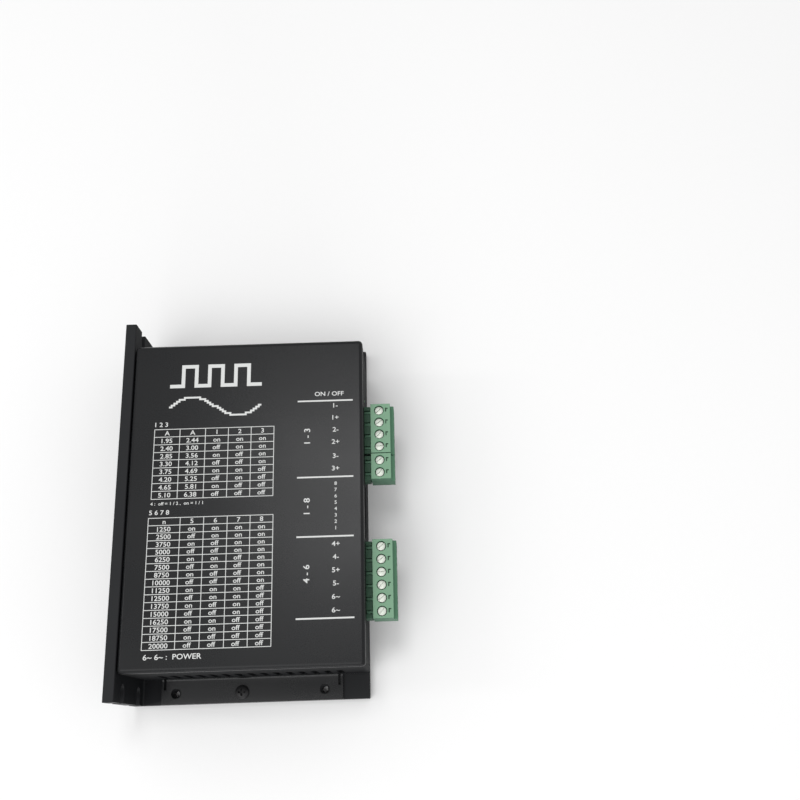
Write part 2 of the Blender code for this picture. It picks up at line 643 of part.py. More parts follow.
def bridge_rectifier():
    """Flat package screwed to the base plate near the supply terminals, one corner cut off
    beside the positive leg. Its four legs bend up through the board."""
    left, right = RECTIFIER_X
    near, far = RECTIFIER_Y - RECTIFIER_HALF, RECTIFIER_Y + RECTIFIER_HALF
    outline = [(left, near + RECTIFIER_CORNER), (left + RECTIFIER_CORNER, near), (right, near), (right, far),
               (left, far)]
    bm = bmesh.new()
    add_prism(bm, outline, "Z", *RECTIFIER_Z)
    package = finish("bridge_rectifier", bm, material("black_epoxy", (0.02, 0.02, 0.02), 0.5))

    def legs(bm):
        inner, outer = RECTIFIER_LEG_X
        start = right - BURIED
        low = (sum(RECTIFIER_Z) - (outer - inner)) / 2
        high = low + outer - inner
        tip = BOARD_Z[1] + SOLDER_TOP
        leg = [(start, low), (outer, low), (outer, tip), (inner, tip), (inner, high), (start, high)]
        for y in RECTIFIER_LEGS:
            middle = RECTIFIER_Y + y
            add_prism(bm, leg, "Y", middle - RECTIFIER_LEG_HALF, middle + RECTIFIER_LEG_HALF)

    combine(package, "legs", legs, "UNION")
    combine(package, "screw", lambda bm: add_lathe(
        bm, RECTIFIER_SCREW, ((left + right) / 2, RECTIFIER_Y, RECTIFIER_Z[1]), segments=12), "UNION")


def bulk_capacitors():
    """Electrolytic cans lying on the board: crimped groove near the seal, flat far end."""
    mat = material("capacitor_sleeve", (0.03, 0.035, 0.06), 0.45)
    near, far = CAN_LEG_OUT
    half = (far - near) / 2
    leg = [(BURIED, half), (-far, half), (-far, -CAN_R), (-near, -CAN_R), (-near, -half), (BURIED, -half)]

    def legs(bm):
        for x in (-CAN_LEG_X, CAN_LEG_X):
            add_prism(bm, leg, "X", x - half, x + half)

    for number, y in enumerate(CAN_STARTS, 1):
        bm = bmesh.new()
        add_lathe(bm, CAN_PROFILE, (0, 0, 0), axis="Y", segments=16)
        can = finish(f"bulk_capacitor_{number}", bm, mat, (CAN_X, y, BOARD_Z[1] + GAP + CAN_R), smooth=True)
        combine(can, "legs", legs, "UNION")


def storage_inductor():
    """Drum core standing on the board, wound between two flanges."""
    bm = bmesh.new()
    add_lathe(bm, DRUM, (0, 0, 0), segments=16)
    mat = material("ferrite", (0.08, 0.075, 0.07), 0.6, 0.1)
    finish("storage_inductor", bm, mat, (*DRUM_PLACE, BOARD_Z[1] + GAP), smooth=True)


# ---- terminals ----------------------------------------------------------------------------
def pole_places(ways):
    """Y of each pole from the row's centre."""
    return [PITCH * (number - (ways - 1) / 2) for number in range(ways)]


def header_half(ways):
    return ways * PITCH / 2 - HEADER_END


def header(name, ways, centre, mat):
    """Board header: a box open to the front, slotted for the plug's ribs, with square
    pins bent down through the board. Its own Y starts at the row's centre."""
    half = header_half(ways)
    front = HEADER_X[1] + BEYOND
    roof = HEADER_Z[1] - HEADER_WALL
    bm = bmesh.new()
    add_box(bm, (HEADER_X[0], -half, HEADER_Z[0]), (HEADER_X[1], half, HEADER_Z[1]))
    body = finish(f"{name}_header", bm, mat, (0, centre, 0))

    def cavity(bm):
        add_box(bm, (SCREW_X + NOSE_TIP - GAP, -half + HEADER_WALL, HEADER_Z[0] + HEADER_WALL),
                (front, half - HEADER_WALL, roof))

    def rib_slots(bm):
        room = RIB_HALF + GAP
        for y in pole_places(ways):
            add_box(bm, (HEADER_X[1] - RIB_SLOT_DEPTH, y - room, roof - BURIED),
                    (front, y + room, HEADER_Z[1] + BEYOND))

    def pins(bm):
        foot = BOARD_Z[0] - PIN_FOOT
        back, bend = PIN_BACK_X - PIN_HALF, PIN_BACK_X + PIN_HALF
        low, high = PIN_Z - PIN_HALF, PIN_Z + PIN_HALF
        outline = [(back, foot), (bend, foot), (bend, low), (PIN_TIP_X, low), (PIN_TIP_X, high),
                   (back, high)]
        for y in pole_places(ways):
            add_prism(bm, outline, "Y", y - PIN_HALF, y + PIN_HALF)

    combine(body, "cavity", cavity)
    combine(body, "rib_slots", rib_slots)
    combine(body, "pins", pins, "UNION")


def plug(name, ways, centre, mat):
    """Terminal plug. Each pole is a cell for its rising clamp, with a screw well above, a
    wire mouth in front, and behind it a contact that reaches through the nose."""
    half = ways * PITCH / 2 + PLUG_END
    nose_half = ways * PITCH / 2 - NOSE_END
    poles = pole_places(ways)
    above = PLUG_HEIGHT + BEYOND
    profile = [(PLUG_BACK, 0), (PLUG_STEP_FRONT, 0), (PLUG_STEP_FRONT, PLUG_STEP_TOP),
               (PLUG_FRONT, PLUG_STEP_TOP + PLUG_STEP_SLOPE), (PLUG_FRONT, PLUG_HEIGHT),
               (PLUG_BACK, PLUG_HEIGHT)]
    bm = bmesh.new()
    add_prism(bm, profile, "Y", -half, half)
    body = finish(f"{name}_plug", bm, mat, (SCREW_X, centre, PLUG_Z))

    def nose(bm):
        add_box(bm, (NOSE_TIP, -nose_half, NOSE_Z[0]), (PLUG_BACK + BURIED, nose_half, NOSE_Z[1]))

    def ribs(bm):
        for y in poles:
            add_box(bm, (RIB_TIP, y - RIB_HALF, NOSE_Z[1] - BURIED),
                    (PLUG_BACK + BURIED, y + RIB_HALF, RIB_TOP))

    def cells(bm):
        for y in poles:
            add_box(bm, (CELL_X[0], y - CELL_HALF, CELL_Z[0]), (CELL_X[1], y + CELL_HALF, CELL_Z[1]))

    def wells(bm):
        low = CELL_Z[1] - BURIED
        turned = [(0, low), (THROAT_R, low), (THROAT_R, WELL_FLOOR), (WELL_R, WELL_FLOOR), (WELL_R, above),
                  (0, above)]
        for y in poles:
            add_lathe(bm, turned, (0, y, 0), segments=16)

    def mouths(bm):
        """Straight through the cell's wall, then flared to the front."""
        inner, edge, outer = CELL_X[1] - BURIED, PLUG_STEP_FRONT - MOUTH_LEAD, PLUG_STEP_FRONT + MOUTH_FLARE
        low, high = MOUTH_Z
        outline = [(inner, low), (edge, low), (outer, low - MOUTH_FLARE), (outer, high + MOUTH_FLARE),
                   (edge, high), (inner, high)]
        for y in poles:
            add_prism(bm, outline, "Y", y - MOUTH_HALF, y + MOUTH_HALF)

    def sockets(bm):
        pin = PIN_Z - PLUG_Z
        room = PIN_HALF + GAP
        for y in poles:
            add_box(bm, (NOSE_TIP - BEYOND, y - room, pin - room),
                    (PIN_TIP_X - SCREW_X + SOCKET_DEEPER, y + room, pin + room))

    def wire_marks(bm):
        """Angle-shaped recess in front of each screw."""
        near, line, far = MARK_X
        left, inner, right = MARK_Y
        corner = [(near, left), (line, left), (line, inner), (far, inner), (far, right), (near, right)]
        for pole in poles:
            outline = [(x, pole + y) for x, y in corner]
            add_prism(bm, outline, "Z", PLUG_HEIGHT - MARK_DEPTH, above)

    def tongues(bm):
        for y in poles:
            add_box(bm, (CELL_X[0] - BURIED, y - TONGUE_HALF, TONGUE_Z[0]),
                    (TONGUE_TIP, y + TONGUE_HALF, TONGUE_Z[1]))

    combine(body, "nose", nose, "UNION")
    combine(body, "ribs", ribs, "UNION")
    for shape in (cells, wells, mouths, sockets, wire_marks):
        combine(body, shape.__name__, shape)
    combine(body, "tongues", tongues, "UNION")
    return body


def terminal_screw_mesh(mat):
    """Slotted screw on its own axis, measured from the plug's underside."""
    foot, top = HEAD_Z
    profile = [(0, SCREW_TIP), (SCREW_TIP_R, SCREW_TIP), (SHANK_R, SCREW_TIP + SCREW_TIP_CHAMFER),
               (SHANK_R, foot), (HEAD_R, foot), (HEAD_R, top - HEAD_CHAMFER), (HEAD_R - HEAD_CHAMFER, top),
               (0, top)]
    bm = bmesh.new()
    add_lathe(bm, profile, (0, 0, 0), segments=12)
    screw = finish("terminal_screw", bm, mat, smooth=True)
    combine(screw, "slot", lambda bm: add_box(
        bm, (-HEAD_R - BEYOND, -SLOT_HALF, top - SLOT_DEPTH), (HEAD_R + BEYOND, SLOT_HALF, top + BEYOND)))
    return baked(screw)


def wire_clamp_mesh(mat):
    """Rising clamp: a cage with a window for the wire and a tapped roof."""
    (back, front), (foot, top) = CLAMP_X, CLAMP_Z
    bm = bmesh.new()
    add_box(bm, (back, -CLAMP_HALF, foot), (front, CLAMP_HALF, top))
    cage = finish("wire_clamp", bm, mat)
    inner = CLAMP_HALF - CLAMP_WALL
    combine(cage, "window", lambda bm: add_box(
        bm, (back - BEYOND, -inner, foot + CLAMP_FLOOR), (front + BEYOND, inner, top - CLAMP_ROOF)))
    combine(cage, "tapping", lambda bm: add_rod(
        bm, (0, 0), SCREW_TAPPING_R, top - BEYOND, top + BEYOND, segments=12))
    return baked(cage)


def terminals():
    """Headers and plugs, and in each plug the screws and clamps, numbered from +Y."""
    green = material("green_polyamide", (0.12, 0.50, 0.24), 0.42)
    dark_green = material("green_polyamide_header", (0.07, 0.36, 0.16), 0.45)
    screw = terminal_screw_mesh(material("zinc_screw", (0.75, 0.75, 0.74), 0.3, 1.0))
    clamp = wire_clamp_mesh(material("nickel_clamp", (0.72, 0.70, 0.66), 0.35, 1.0))
    angles = iter(SLOT_ANGLES)
    number = 0
    for name, ways, centre in TERMINALS:
        header(name, ways, centre, dark_green)
        body = plug(name, ways, centre, green)
        for y in reversed(pole_places(ways)):
            number += 1
            turned = place_object(f"terminal_screw_{number}", screw, (0, y, 0), body)
            turned.rotation_euler.z = math.radians(next(angles))
            place_object(f"wire_clamp_{number}", clamp, (0, y, 0), body)


# ---- switch and lamp -------------------------------------------------------------------------
def switch_half():
    return SWITCH_WAYS * SWITCH_PITCH / 2 + SWITCH_END


def slider_places():
    return [SWITCH_PITCH * (number - (SWITCH_WAYS - 1) / 2) for number in range(SWITCH_WAYS)]


def switch():
    """Side-facing slide switch: one pocket and one slider for each way, off at rest."""
    (back, front), (foot, top) = SWITCH_X, SWITCH_Z
    pocket_low = (foot + top - POCKET_HEIGHT) / 2
    outline = [(back, foot), (front - SWITCH_CHAMFER, foot), (front, foot + SWITCH_CHAMFER),
               (front, top - SWITCH_CHAMFER), (front - SWITCH_CHAMFER, top), (back, top)]
    bm = bmesh.new()
    add_prism(bm, outline, "Y", -switch_half(), switch_half())
    body = finish("switch_housing", bm, material("switch_plastic", (0.02, 0.05, 0.16), 0.45),
                  (0, SWITCH_Y, 0))

    def pockets(bm):
        for y in slider_places():
            add_box(bm, (front - POCKET_DEPTH, y - POCKET_HALF, pocket_low),
                    (front + BEYOND, y + POCKET_HALF, pocket_low + POCKET_HEIGHT))

    combine(body, "pockets", pockets)
    mesh = slider_mesh(material("slider_plastic", (0.85, 0.85, 0.82), 0.4))
    for number, y in enumerate(slider_places(), 1):
        place_object(f"switch_slider_{number}", mesh, (0, SWITCH_Y + y, pocket_low + GAP))


def slider_mesh(mat):
    """Stepped slider: a foot that stays in the pocket and a finger that stands out."""
    height = POCKET_HEIGHT - SLIDER_TRAVEL - 2 * GAP
    inner = SWITCH_X[1] - POCKET_DEPTH + SLIDER_BACK
    step, outer = inner + SLIDER_FOOT, SWITCH_X[1] + SLIDER_OUT
    root, tip = SLIDER_SHOULDER
    profile = [(inner, 0), (step, 0), (step, root), (outer, tip), (outer, height - tip),
               (step, height - root), (step, height), (inner, height)]
    bm = bmesh.new()
    add_prism(bm, profile, "Y", -SLIDER_HALF, SLIDER_HALF)
    return baked(finish("slider", bm, mat))


def status_lamp():
    """Round lamp lying on its side behind its hole, on two bent legs."""
    rim, rim_thick = LAMP_RIM
    profile = [(0, 0), (LAMP_R + rim, 0), (LAMP_R + rim, rim_thick), (LAMP_R, rim_thick),
               (LAMP_R, LAMP_BARREL)]
    profile += [(LAMP_R * math.cos(math.radians(a)), LAMP_BARREL + LAMP_R * math.sin(math.radians(a)))
                for a in (25, 50, 75)]
    profile += [(0, LAMP_BARREL + LAMP_R)]
    bm = bmesh.new()
    add_lathe(bm, profile, (LAMP_X, LAMP_Y, LAMP_Z), axis="X", segments=16)
    lamp = finish("status_lamp", bm, material("lamp_lens", (0.15, 0.65, 0.2), 0.15), smooth=True)

    def legs(bm):
        start, near, far = LAMP_X + BURIED, LAMP_X - LAMP_LEG_OUT[0], LAMP_X - LAMP_LEG_OUT[1]
        low, high = LAMP_Z - LAMP_WIRE_HALF, LAMP_Z + LAMP_WIRE_HALF
        foot = BOARD_Z[1] + GAP
        outline = [(start, high), (far, high), (far, foot), (near, foot), (near, low), (start, low)]
        for y in (LAMP_Y - LAMP_LEG_Y, LAMP_Y + LAMP_LEG_Y):
            add_prism(bm, outline, "Y", y - LAMP_WIRE_HALF, y + LAMP_WIRE_HALF)

    combine(lamp, "legs", legs, "UNION")


def main():
    clear_scene()
    heat_sink()
    cover()
    steel = material("zinc_steel", (0.70, 0.70, 0.69), 0.35, 1.0)
    cover_screws(material("black_oxide_steel", (0.03, 0.03, 0.032), 0.35, 0.9))
    board_supports(material("nickel_brass", (0.72, 0.68, 0.55), 0.35, 1.0), steel)
    main_board(material("solder_mask", (0.02, 0.16, 0.07), 0.4))
    transistor_clamping()
    bridge_rectifier()
    bulk_capacitors()
    storage_inductor()
    terminals()
    switch()
    status_lamp()


main()
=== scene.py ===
import json
import math

import bmesh
import bpy
import numpy as np
from mathutils import Matrix, Vector

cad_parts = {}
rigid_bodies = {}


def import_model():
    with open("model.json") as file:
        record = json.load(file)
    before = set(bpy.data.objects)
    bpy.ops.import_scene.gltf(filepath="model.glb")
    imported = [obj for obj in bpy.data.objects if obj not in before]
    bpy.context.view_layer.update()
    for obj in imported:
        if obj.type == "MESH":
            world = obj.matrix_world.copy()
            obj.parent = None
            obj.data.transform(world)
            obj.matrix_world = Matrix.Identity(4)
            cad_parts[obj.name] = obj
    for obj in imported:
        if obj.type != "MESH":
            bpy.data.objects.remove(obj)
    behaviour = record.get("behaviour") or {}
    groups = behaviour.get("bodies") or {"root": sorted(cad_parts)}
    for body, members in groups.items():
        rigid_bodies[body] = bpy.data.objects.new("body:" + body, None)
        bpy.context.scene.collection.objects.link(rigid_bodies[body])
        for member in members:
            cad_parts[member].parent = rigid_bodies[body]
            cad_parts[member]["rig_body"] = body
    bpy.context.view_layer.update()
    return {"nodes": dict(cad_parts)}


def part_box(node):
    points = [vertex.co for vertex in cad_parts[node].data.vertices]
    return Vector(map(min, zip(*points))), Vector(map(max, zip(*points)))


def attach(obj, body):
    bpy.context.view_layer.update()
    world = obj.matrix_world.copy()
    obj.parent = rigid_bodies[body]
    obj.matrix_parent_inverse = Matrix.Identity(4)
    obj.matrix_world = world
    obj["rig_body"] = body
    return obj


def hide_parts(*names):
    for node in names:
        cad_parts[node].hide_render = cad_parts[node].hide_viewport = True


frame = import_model()
mm = 0.001
print("frame loaded,", len(frame["nodes"]), "solids")


# One output socket of a material's nodes. Arithmetic on it adds Math nodes.
class Wire:
    def __init__(self, tree, socket=None):
        self.tree = tree
        self.socket = socket

    # Any node: its settings first, then the value or link of each socket.
    def node(self, kind, settings=None, inputs=None, output=0):
        made = self.tree.nodes.new(kind)
        for name, value in (settings or {}).items():
            setattr(made, name, value)
        for name, value in (inputs or {}).items():
            if isinstance(value, Wire):
                self.tree.links.new(value.socket, made.inputs[name])
            else:
                made.inputs[name].default_value = value
        return Wire(self.tree, made.outputs[output])

    def maths(self, operation, *values):
        return self.node("ShaderNodeMath", {"operation": operation}, dict(enumerate(values)))

    def __add__(self, other):
        return self.maths("ADD", self, other)

    def __sub__(self, other):
        return self.maths("SUBTRACT", self, other)

    def __rsub__(self, other):
        return self.maths("SUBTRACT", other, self)

    def __mul__(self, other):
        return self.maths("MULTIPLY", self, other)

    def __gt__(self, other):
        return self.maths("GREATER_THAN", self, other)

    def __abs__(self):
        return self.maths("ABSOLUTE", self)

    __radd__ = __add__
    __rmul__ = __mul__


def place(root):
    return root.node("ShaderNodeTexCoord", output="Object")


def along(vector, axis):
    return vector.node("ShaderNodeSeparateXYZ", inputs={0: vector}, output=axis)


def stretched(vector, scale):
    return vector.node("ShaderNodeMapping", inputs={"Vector": vector, "Scale": scale})


# Cloudy noise from 0 to 1; size is the width of its features in metres.
def noise(vector, size, detail=2.0, roughness=0.5):
    return vector.node("ShaderNodeTexNoise", inputs={
        "Vector": vector, "Scale": 1 / size, "Detail": detail, "Roughness": roughness})


# Rises from 0 to 1 while value goes from low to high.
def rise(value, low, high):
    return value.node("ShaderNodeMapRange", {"interpolation_type": "SMOOTHSTEP"}, {
        "Value": value, "From Min": low, "From Max": high})


def mix(share, first, second):
    def colour(value):
        return value if isinstance(value, Wire) else (*value, 1.0)
    return share.node("ShaderNodeMix", {"data_type": "RGBA"},
                      {0: share, 6: colour(first), 7: colour(second)}, output=2)


# Surface relief; depth is the height in metres that a value of 1 stands for.
def relief(height, depth):
    return height.node("ShaderNodeBump", inputs={
        "Height": height, "Distance": depth, "Strength": 1.0})


# A material. constants are set straight on the shader's sockets, and build(root) gives the
# wires of those that change over the surface.
def finish(name, constants, build):
    made = bpy.data.materials.new(name)
    made.use_nodes = True
    shader = made.node_tree.nodes["Principled BSDF"]
    for socket, value in constants.items():
        shader.inputs[socket].default_value = value
    for socket, wire in build(Wire(made.node_tree)).items():
        made.node_tree.links.new(wire.socket, shader.inputs[socket])
    return made


paint = {
    "dark": (0.0085, 0.0092, 0.0104), "pale": (0.0118, 0.0121, 0.0128),
    "dust": (0.060, 0.060, 0.058), "grain": 0.35 * mm, "grainDepth": 0.004 * mm,
    "roughness": 0.20, "wallRoughness": 0.52,
}


def paintedSheet(roughness):
    def build(root):
        at = place(root)
        cloud = noise(at, 38 * mm, 4)
        grain = noise(at, paint["grain"], 2)
        speck = rise(noise(at, 1.6 * mm, 3, 0.7), 0.72, 0.80)
        scuff = rise(noise(stretched(at, (1.0, 0.08, 1.0)), 1.2 * mm, 2), 0.74, 0.82)
        dusty = speck * 0.30 + scuff * 0.12
        return {
            "Base Color": mix(dusty, mix(cloud, paint["dark"], paint["pale"]), paint["dust"]),
            "Roughness": roughness + cloud * 0.10 + grain * 0.05 + speck * 0.2,
            "Normal": relief(grain, paint["grainDepth"]),
        }
    return build


anodised = {
    "dark": (0.0120, 0.0128, 0.0142), "pale": (0.0200, 0.0208, 0.0222), "worn": (0.10, 0.10, 0.102),
    "line": 0.22 * mm, "lineDepth": 0.0012 * mm,
}


# Extruded faces show fine lines along Y, and the sawn ends straight lines along X.
def anodisedAluminium(root):
    at = place(root)
    facing = abs(along(root.node("ShaderNodeTexCoord", output="Normal"), "Y"))
    end = facing > 0.9
    lines = noise(stretched(at, (1.0, 0.012, 1.0)), anodised["line"], 3, 0.6)
    sawn = noise(stretched(at, (0.06, 1.0, 1.0)), 0.30 * mm, 3, 0.6)
    streak = lines * (1 - end) + sawn * end
    cloud = noise(at, 24 * mm, 3)
    nick = rise(noise(at, 2.2 * mm, 5, 0.75), 0.73, 0.80)
    colour = mix(cloud * 0.5 + streak * 0.5, anodised["dark"], anodised["pale"])
    return {
        "Base Color": mix(nick * 0.35, colour, anodised["worn"]),
        "Roughness": 0.34 + cloud * 0.12 + streak * 0.14,
        "Normal": relief(streak, anodised["lineDepth"]),
    }


# Moulded plastic: faint flow clouds, fine spark-eroded texture, a few pale handling marks.
def moulded(dark, pale, mark, roughness, grainDepth=0.0015 * mm):
    def build(root):
        at = place(root)
        cloud = noise(at, 7 * mm, 3)
        grain = noise(at, 0.16 * mm, 2)
        scuff = rise(noise(at, 0.9 * mm, 4, 0.7), 0.70, 0.80)
        return {
            "Base Color": mix(scuff * 0.25, mix(cloud, dark, pale), mark),
            "Roughness": roughness + cloud * 0.08 + scuff * 0.12,
            "Normal": relief(grain, grainDepth),
        }
    return build


# Plated or blackened metal: soft clouds of tone and fine scratches.
def plated(dark, pale, roughness, scratchDepth=0.0006 * mm):
    def build(root):
        at = place(root)
        cloud = noise(at, 2.6 * mm, 4)
        scratch = noise(stretched(at, (1.0, 0.15, 1.0)), 0.09 * mm, 2)
        return {
            "Base Color": mix(cloud, dark, pale),
            "Roughness": roughness + cloud * 0.10 + scratch * 0.08,
            "Normal": relief(scratch, scratchDepth),
        }
    return build


# Silk-screened ink, a little thin in small spots.
def screenInk(root):
    at = place(root)
    thin = rise(noise(at, 0.22 * mm, 3, 0.6), 0.62, 0.80)
    return {
        "Base Color": mix(thin * 0.45, (0.66, 0.67, 0.66), (0.34, 0.35, 0.35)),
        "Roughness": 0.50 + thin * 0.15,
    }


# Green solder mask over buried tracks that run along and across the board.
def solderMask(root):
    at = place(root)
    down = noise(stretched(at, (1.0, 0.05, 1.0)), 1.1 * mm, 0)
    across = noise(stretched(at, (0.05, 1.0, 1.0)), 1.3 * mm, 0)
    track = rise(down.maths("MAXIMUM", down, across), 0.56, 0.60)
    weave = noise(at, 0.3 * mm, 2)
    return {
        "Base Color": mix(track, (0.010, 0.085, 0.036), (0.022, 0.150, 0.062)),
        "Roughness": 0.34 + weave * 0.12,
        "Normal": relief(track, 0.03 * mm),
    }


# Shrunk sleeve, cloudy and a little uneven.
def capacitorSleeve(root):
    at = place(root)
    cloud = noise(at, 5 * mm, 3)
    return {
        "Base Color": mix(cloud, (0.010, 0.012, 0.022), (0.018, 0.021, 0.036)),
        "Roughness": 0.30 + cloud * 0.12,
        "Normal": relief(noise(at, 2.5 * mm, 2), 0.02 * mm),
    }


def lensTint(root):
    at = place(root)
    haze = noise(at, 0.8 * mm, 3)
    return {
        "Base Color": mix(haze, (0.10, 0.50, 0.14), (0.16, 0.62, 0.20)),
        "Roughness": 0.10 + haze * 0.08,
    }


finishes = {
    "paint": finish("paintedSheet", {"Specular IOR Level": 0.16},
                    paintedSheet(paint["roughness"])),
    "anodised": finish("anodisedAluminium", {"Specular IOR Level": 0.12}, anodisedAluminium),
    # Cover walls: the same paint with its reflection turned down, painted shade.
    "paintWallPaintedShade": finish("paintedWallShade", {"Specular IOR Level": 0.03},
                        paintedSheet(paint["wallRoughness"])),
    # Cover tabs: the same paint with its reflection turned up, a painted sheen that lifts them
    # brighter.
    "paintTabPaintedSheen": finish("paintedTabSheen", {"Specular IOR Level": 0.26},
                       paintedSheet(paint["roughness"])),
    # Heat sink's inner corner: the same anodising with its reflection turned down, painted shade.
    "anodisedCornerPaintedShade": finish("anodisedCornerPaintedShade", {"Specular IOR Level": 0.02}, anodisedAluminium),
    "ink": finish("screenInk", {}, screenInk),
    # The plug's top and sides are lit and shaded copies of one green plastic: painted light on the
    # top, painted shade on the sides.
    "greenPlugPaintedLight": finish("greenPlugPaintedLight", {}, moulded(
        (0.150, 0.315, 0.190), (0.180, 0.350, 0.218), (0.36, 0.50, 0.40), 0.42)),
    "greenPlugPaintedShade": finish("greenPlugPaintedShade", {"Specular IOR Level": 0.3}, moulded(
        (0.076, 0.198, 0.117), (0.094, 0.222, 0.136), (0.25, 0.38, 0.29), 0.46)),
    # The marks' recesses are painted darker green: painted shade in the recess.
    "greenRecessPaintedShade": finish("greenRecessPaintedShade", {}, moulded(
        (0.028, 0.085, 0.046), (0.036, 0.100, 0.056), (0.12, 0.20, 0.15), 0.50)),
    # The header's green is the plug's plastic painted darker: painted shade of the gap under the
    # cover's edge.
    "greenHeaderPaintedShade": finish("greenHeaderPaintedShade", {"Specular IOR Level": 0.2}, moulded(
        (0.036, 0.098, 0.058), (0.048, 0.118, 0.072), (0.20, 0.30, 0.24), 0.44)),
    "screwZinc": finish("screwZinc", {"Metallic": 1.0}, plated(
        (0.44, 0.47, 0.42), (0.56, 0.59, 0.54), 0.42)),
    "clampNickel": finish("clampNickel", {"Metallic": 1.0}, plated(
        (0.58, 0.56, 0.51), (0.74, 0.72, 0.66), 0.30)),
    "pinTin": finish("pinTin", {"Metallic": 1.0}, plated(
        (0.62, 0.62, 0.60), (0.80, 0.80, 0.78), 0.22)),
    "blackSteel": finish("blackSteel", {"Specular IOR Level": 0.25}, plated(
        (0.012, 0.012, 0.013), (0.020, 0.020, 0.021), 0.34)),
    "brass": finish("standoffBrass", {"Metallic": 1.0}, plated(
        (0.50, 0.45, 0.33), (0.66, 0.61, 0.48), 0.30)),
    "switchBlue": finish("switchPlastic", {}, moulded(
        (0.010, 0.030, 0.105), (0.014, 0.040, 0.130), (0.08, 0.12, 0.24), 0.40)),
    "sliderWhite": finish("sliderPlastic", {}, moulded(
        (0.66, 0.66, 0.63), (0.74, 0.74, 0.71), (0.50, 0.50, 0.47), 0.38)),
    "epoxy": finish("mouldedEpoxy", {}, moulded(
        (0.014, 0.014, 0.015), (0.022, 0.022, 0.023), (0.06, 0.06, 0.06), 0.48)),
    "ferrite": finish("ferriteCore", {}, moulded(
        (0.030, 0.028, 0.027), (0.045, 0.042, 0.040), (0.10, 0.10, 0.09), 0.55)),
    "silicone": finish("siliconePad", {}, moulded(
        (0.34, 0.36, 0.38), (0.40, 0.42, 0.44), (0.50, 0.50, 0.50), 0.70)),
    "solderMask": finish("solderMask", {}, solderMask),
    "sleeve": finish("capacitorSleeve", {}, capacitorSleeve),
    "lens": finish("lampLens", {"Transmission Weight": 0.25, "IOR": 1.5}, lensTint),
}
print("finishes made:", len(finishes))


# Quads between neighbouring rings of points. The first and last ring get a flat cap, or the
# last ring joins the first.
def skin(rings, endToEnd=False):
    count, around = rings.shape[:2]
    index = np.arange(count * around).reshape(count, around)
    if endToEnd:
        index = np.vstack([index, index[:1]])
    following = np.roll(index, -1, axis=1)
    quads = np.stack([index[:-1], following[:-1], following[1:], index[1:]], axis=-1)
    faces = quads.reshape(-1, 4).tolist()
    if not endToEnd:
        faces += [index[0][::-1].tolist(), index[-1].tolist()]
    return meshOf(rings.reshape(-1, 3), faces)


# A mesh from points and faces, turned so that its faces point outwards.
def meshOf(points, faces):
    mesh = bpy.data.meshes.new("surface")
    mesh.from_pydata(points.tolist(), [], faces)
    bm = bmesh.new()
    bm.from_mesh(mesh)
    if bm.calc_volume(signed=True) < 0:
        bmesh.ops.reverse_faces(bm, faces=bm.faces)
    bm.to_mesh(mesh)
    bm.free()
    return mesh


# Each (radius, height) of a profile swung once round Z: x = r cos a, y = r sin a, z = h.
def turned(profile, segments=32):
    radius, height = np.array(profile, float).T
    angle = np.linspace(0, 2 * math.pi, segments, endpoint=False)
    return np.stack([np.outer(radius, np.cos(angle)), np.outer(radius, np.sin(angle)),
                     np.repeat(height[:, None], segments, axis=1)], axis=-1)


# A flat outline repeated at each of several heights along Z.
def stacked(outline, heights):
    outline = np.array(outline, float)
    flat = np.repeat(outline[None], len(heights), axis=0)
    height = np.repeat(np.array(heights, float)[:, None, None], len(outline), axis=1)
    return np.concatenate([flat, height], axis=-1)


# A screw's shank: r = root + (crest - root) * w, where w is a triangle wave of
# height / pitch - angle / 2 pi that fades out at both ends.
def threaded(root, crest, pitch, low, high, segments=24, rowsPerTurn=6):
    rows = int((high - low) / pitch * rowsPerTurn) + 1
    height = np.linspace(low, high, rows)[:, None]
    angle = np.linspace(0, 2 * math.pi, segments, endpoint=False)[None]
    wave = np.abs((height / pitch - angle / (2 * math.pi)) % 1.0 - 0.5) * 2
    fade = np.clip(np.minimum(height - low, high - height) / (0.6 * pitch), 0, 1)
    radius = root + (crest - root) * wave * fade
    return np.stack([radius * np.cos(angle), radius * np.sin(angle),
                     np.broadcast_to(height, radius.shape)], axis=-1)


def blockMesh(low, high):
    (x0, y0, z0), (x1, y1, z1) = low, high
    return skin(stacked([(x0, y0), (x1, y0), (x1, y1), (x0, y1)], (z0, z1)))


def linked(name, mesh):
    made = bpy.data.objects.new(name, mesh)
    bpy.context.scene.collection.objects.link(made)
    return made


# The first mesh less the second, as a new mesh.
def carved(mesh, cutter):
    target, tool = linked("carveTarget", mesh), linked("carveTool", cutter)
    step = target.modifiers.new("cut", "BOOLEAN")
    step.object = tool
    graph = bpy.context.evaluated_depsgraph_get()
    result = bpy.data.meshes.new_from_object(target.evaluated_get(graph))
    for extra in (target, tool):
        bpy.data.objects.remove(extra)
    return result


# A finished piece: its material, its smooth faces, its body and the solid it stands for.
def piece(name, mesh, material, body, node=None, sharp=35):
    mesh.materials.clear()
    mesh.materials.append(finishes[material])
    mesh.shade_smooth()
    mesh.set_sharp_from_angle(angle=math.radians(sharp))
    made = linked(name, mesh)
    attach(made, body)
    if node:
        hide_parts(node)
    return made


def bodyOf(node):
    return frame["nodes"][node]["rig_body"]


# Half way along Y through a solid's box.
def middleY(node):
    low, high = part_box(node)
    return (low.y + high.y) / 2


# A copy of the solid with its points merged and its flat faces cut into even triangles, so
# that a bevel round a hole stays flat.
def mergedCopy(node):
    bm = bmesh.new()
    bm.from_mesh(frame["nodes"][node].data)
    bmesh.ops.remove_doubles(bm, verts=bm.verts, dist=0.002 * mm)
    bmesh.ops.dissolve_limit(bm, angle_limit=math.radians(0.6), verts=bm.verts, edges=bm.edges)
    bmesh.ops.triangulate(bm, faces=bm.faces, quad_method="BEAUTY", ngon_method="BEAUTY")
    mesh = bpy.data.meshes.new(node)
    bm.to_mesh(mesh)
    bm.free()
    return mesh


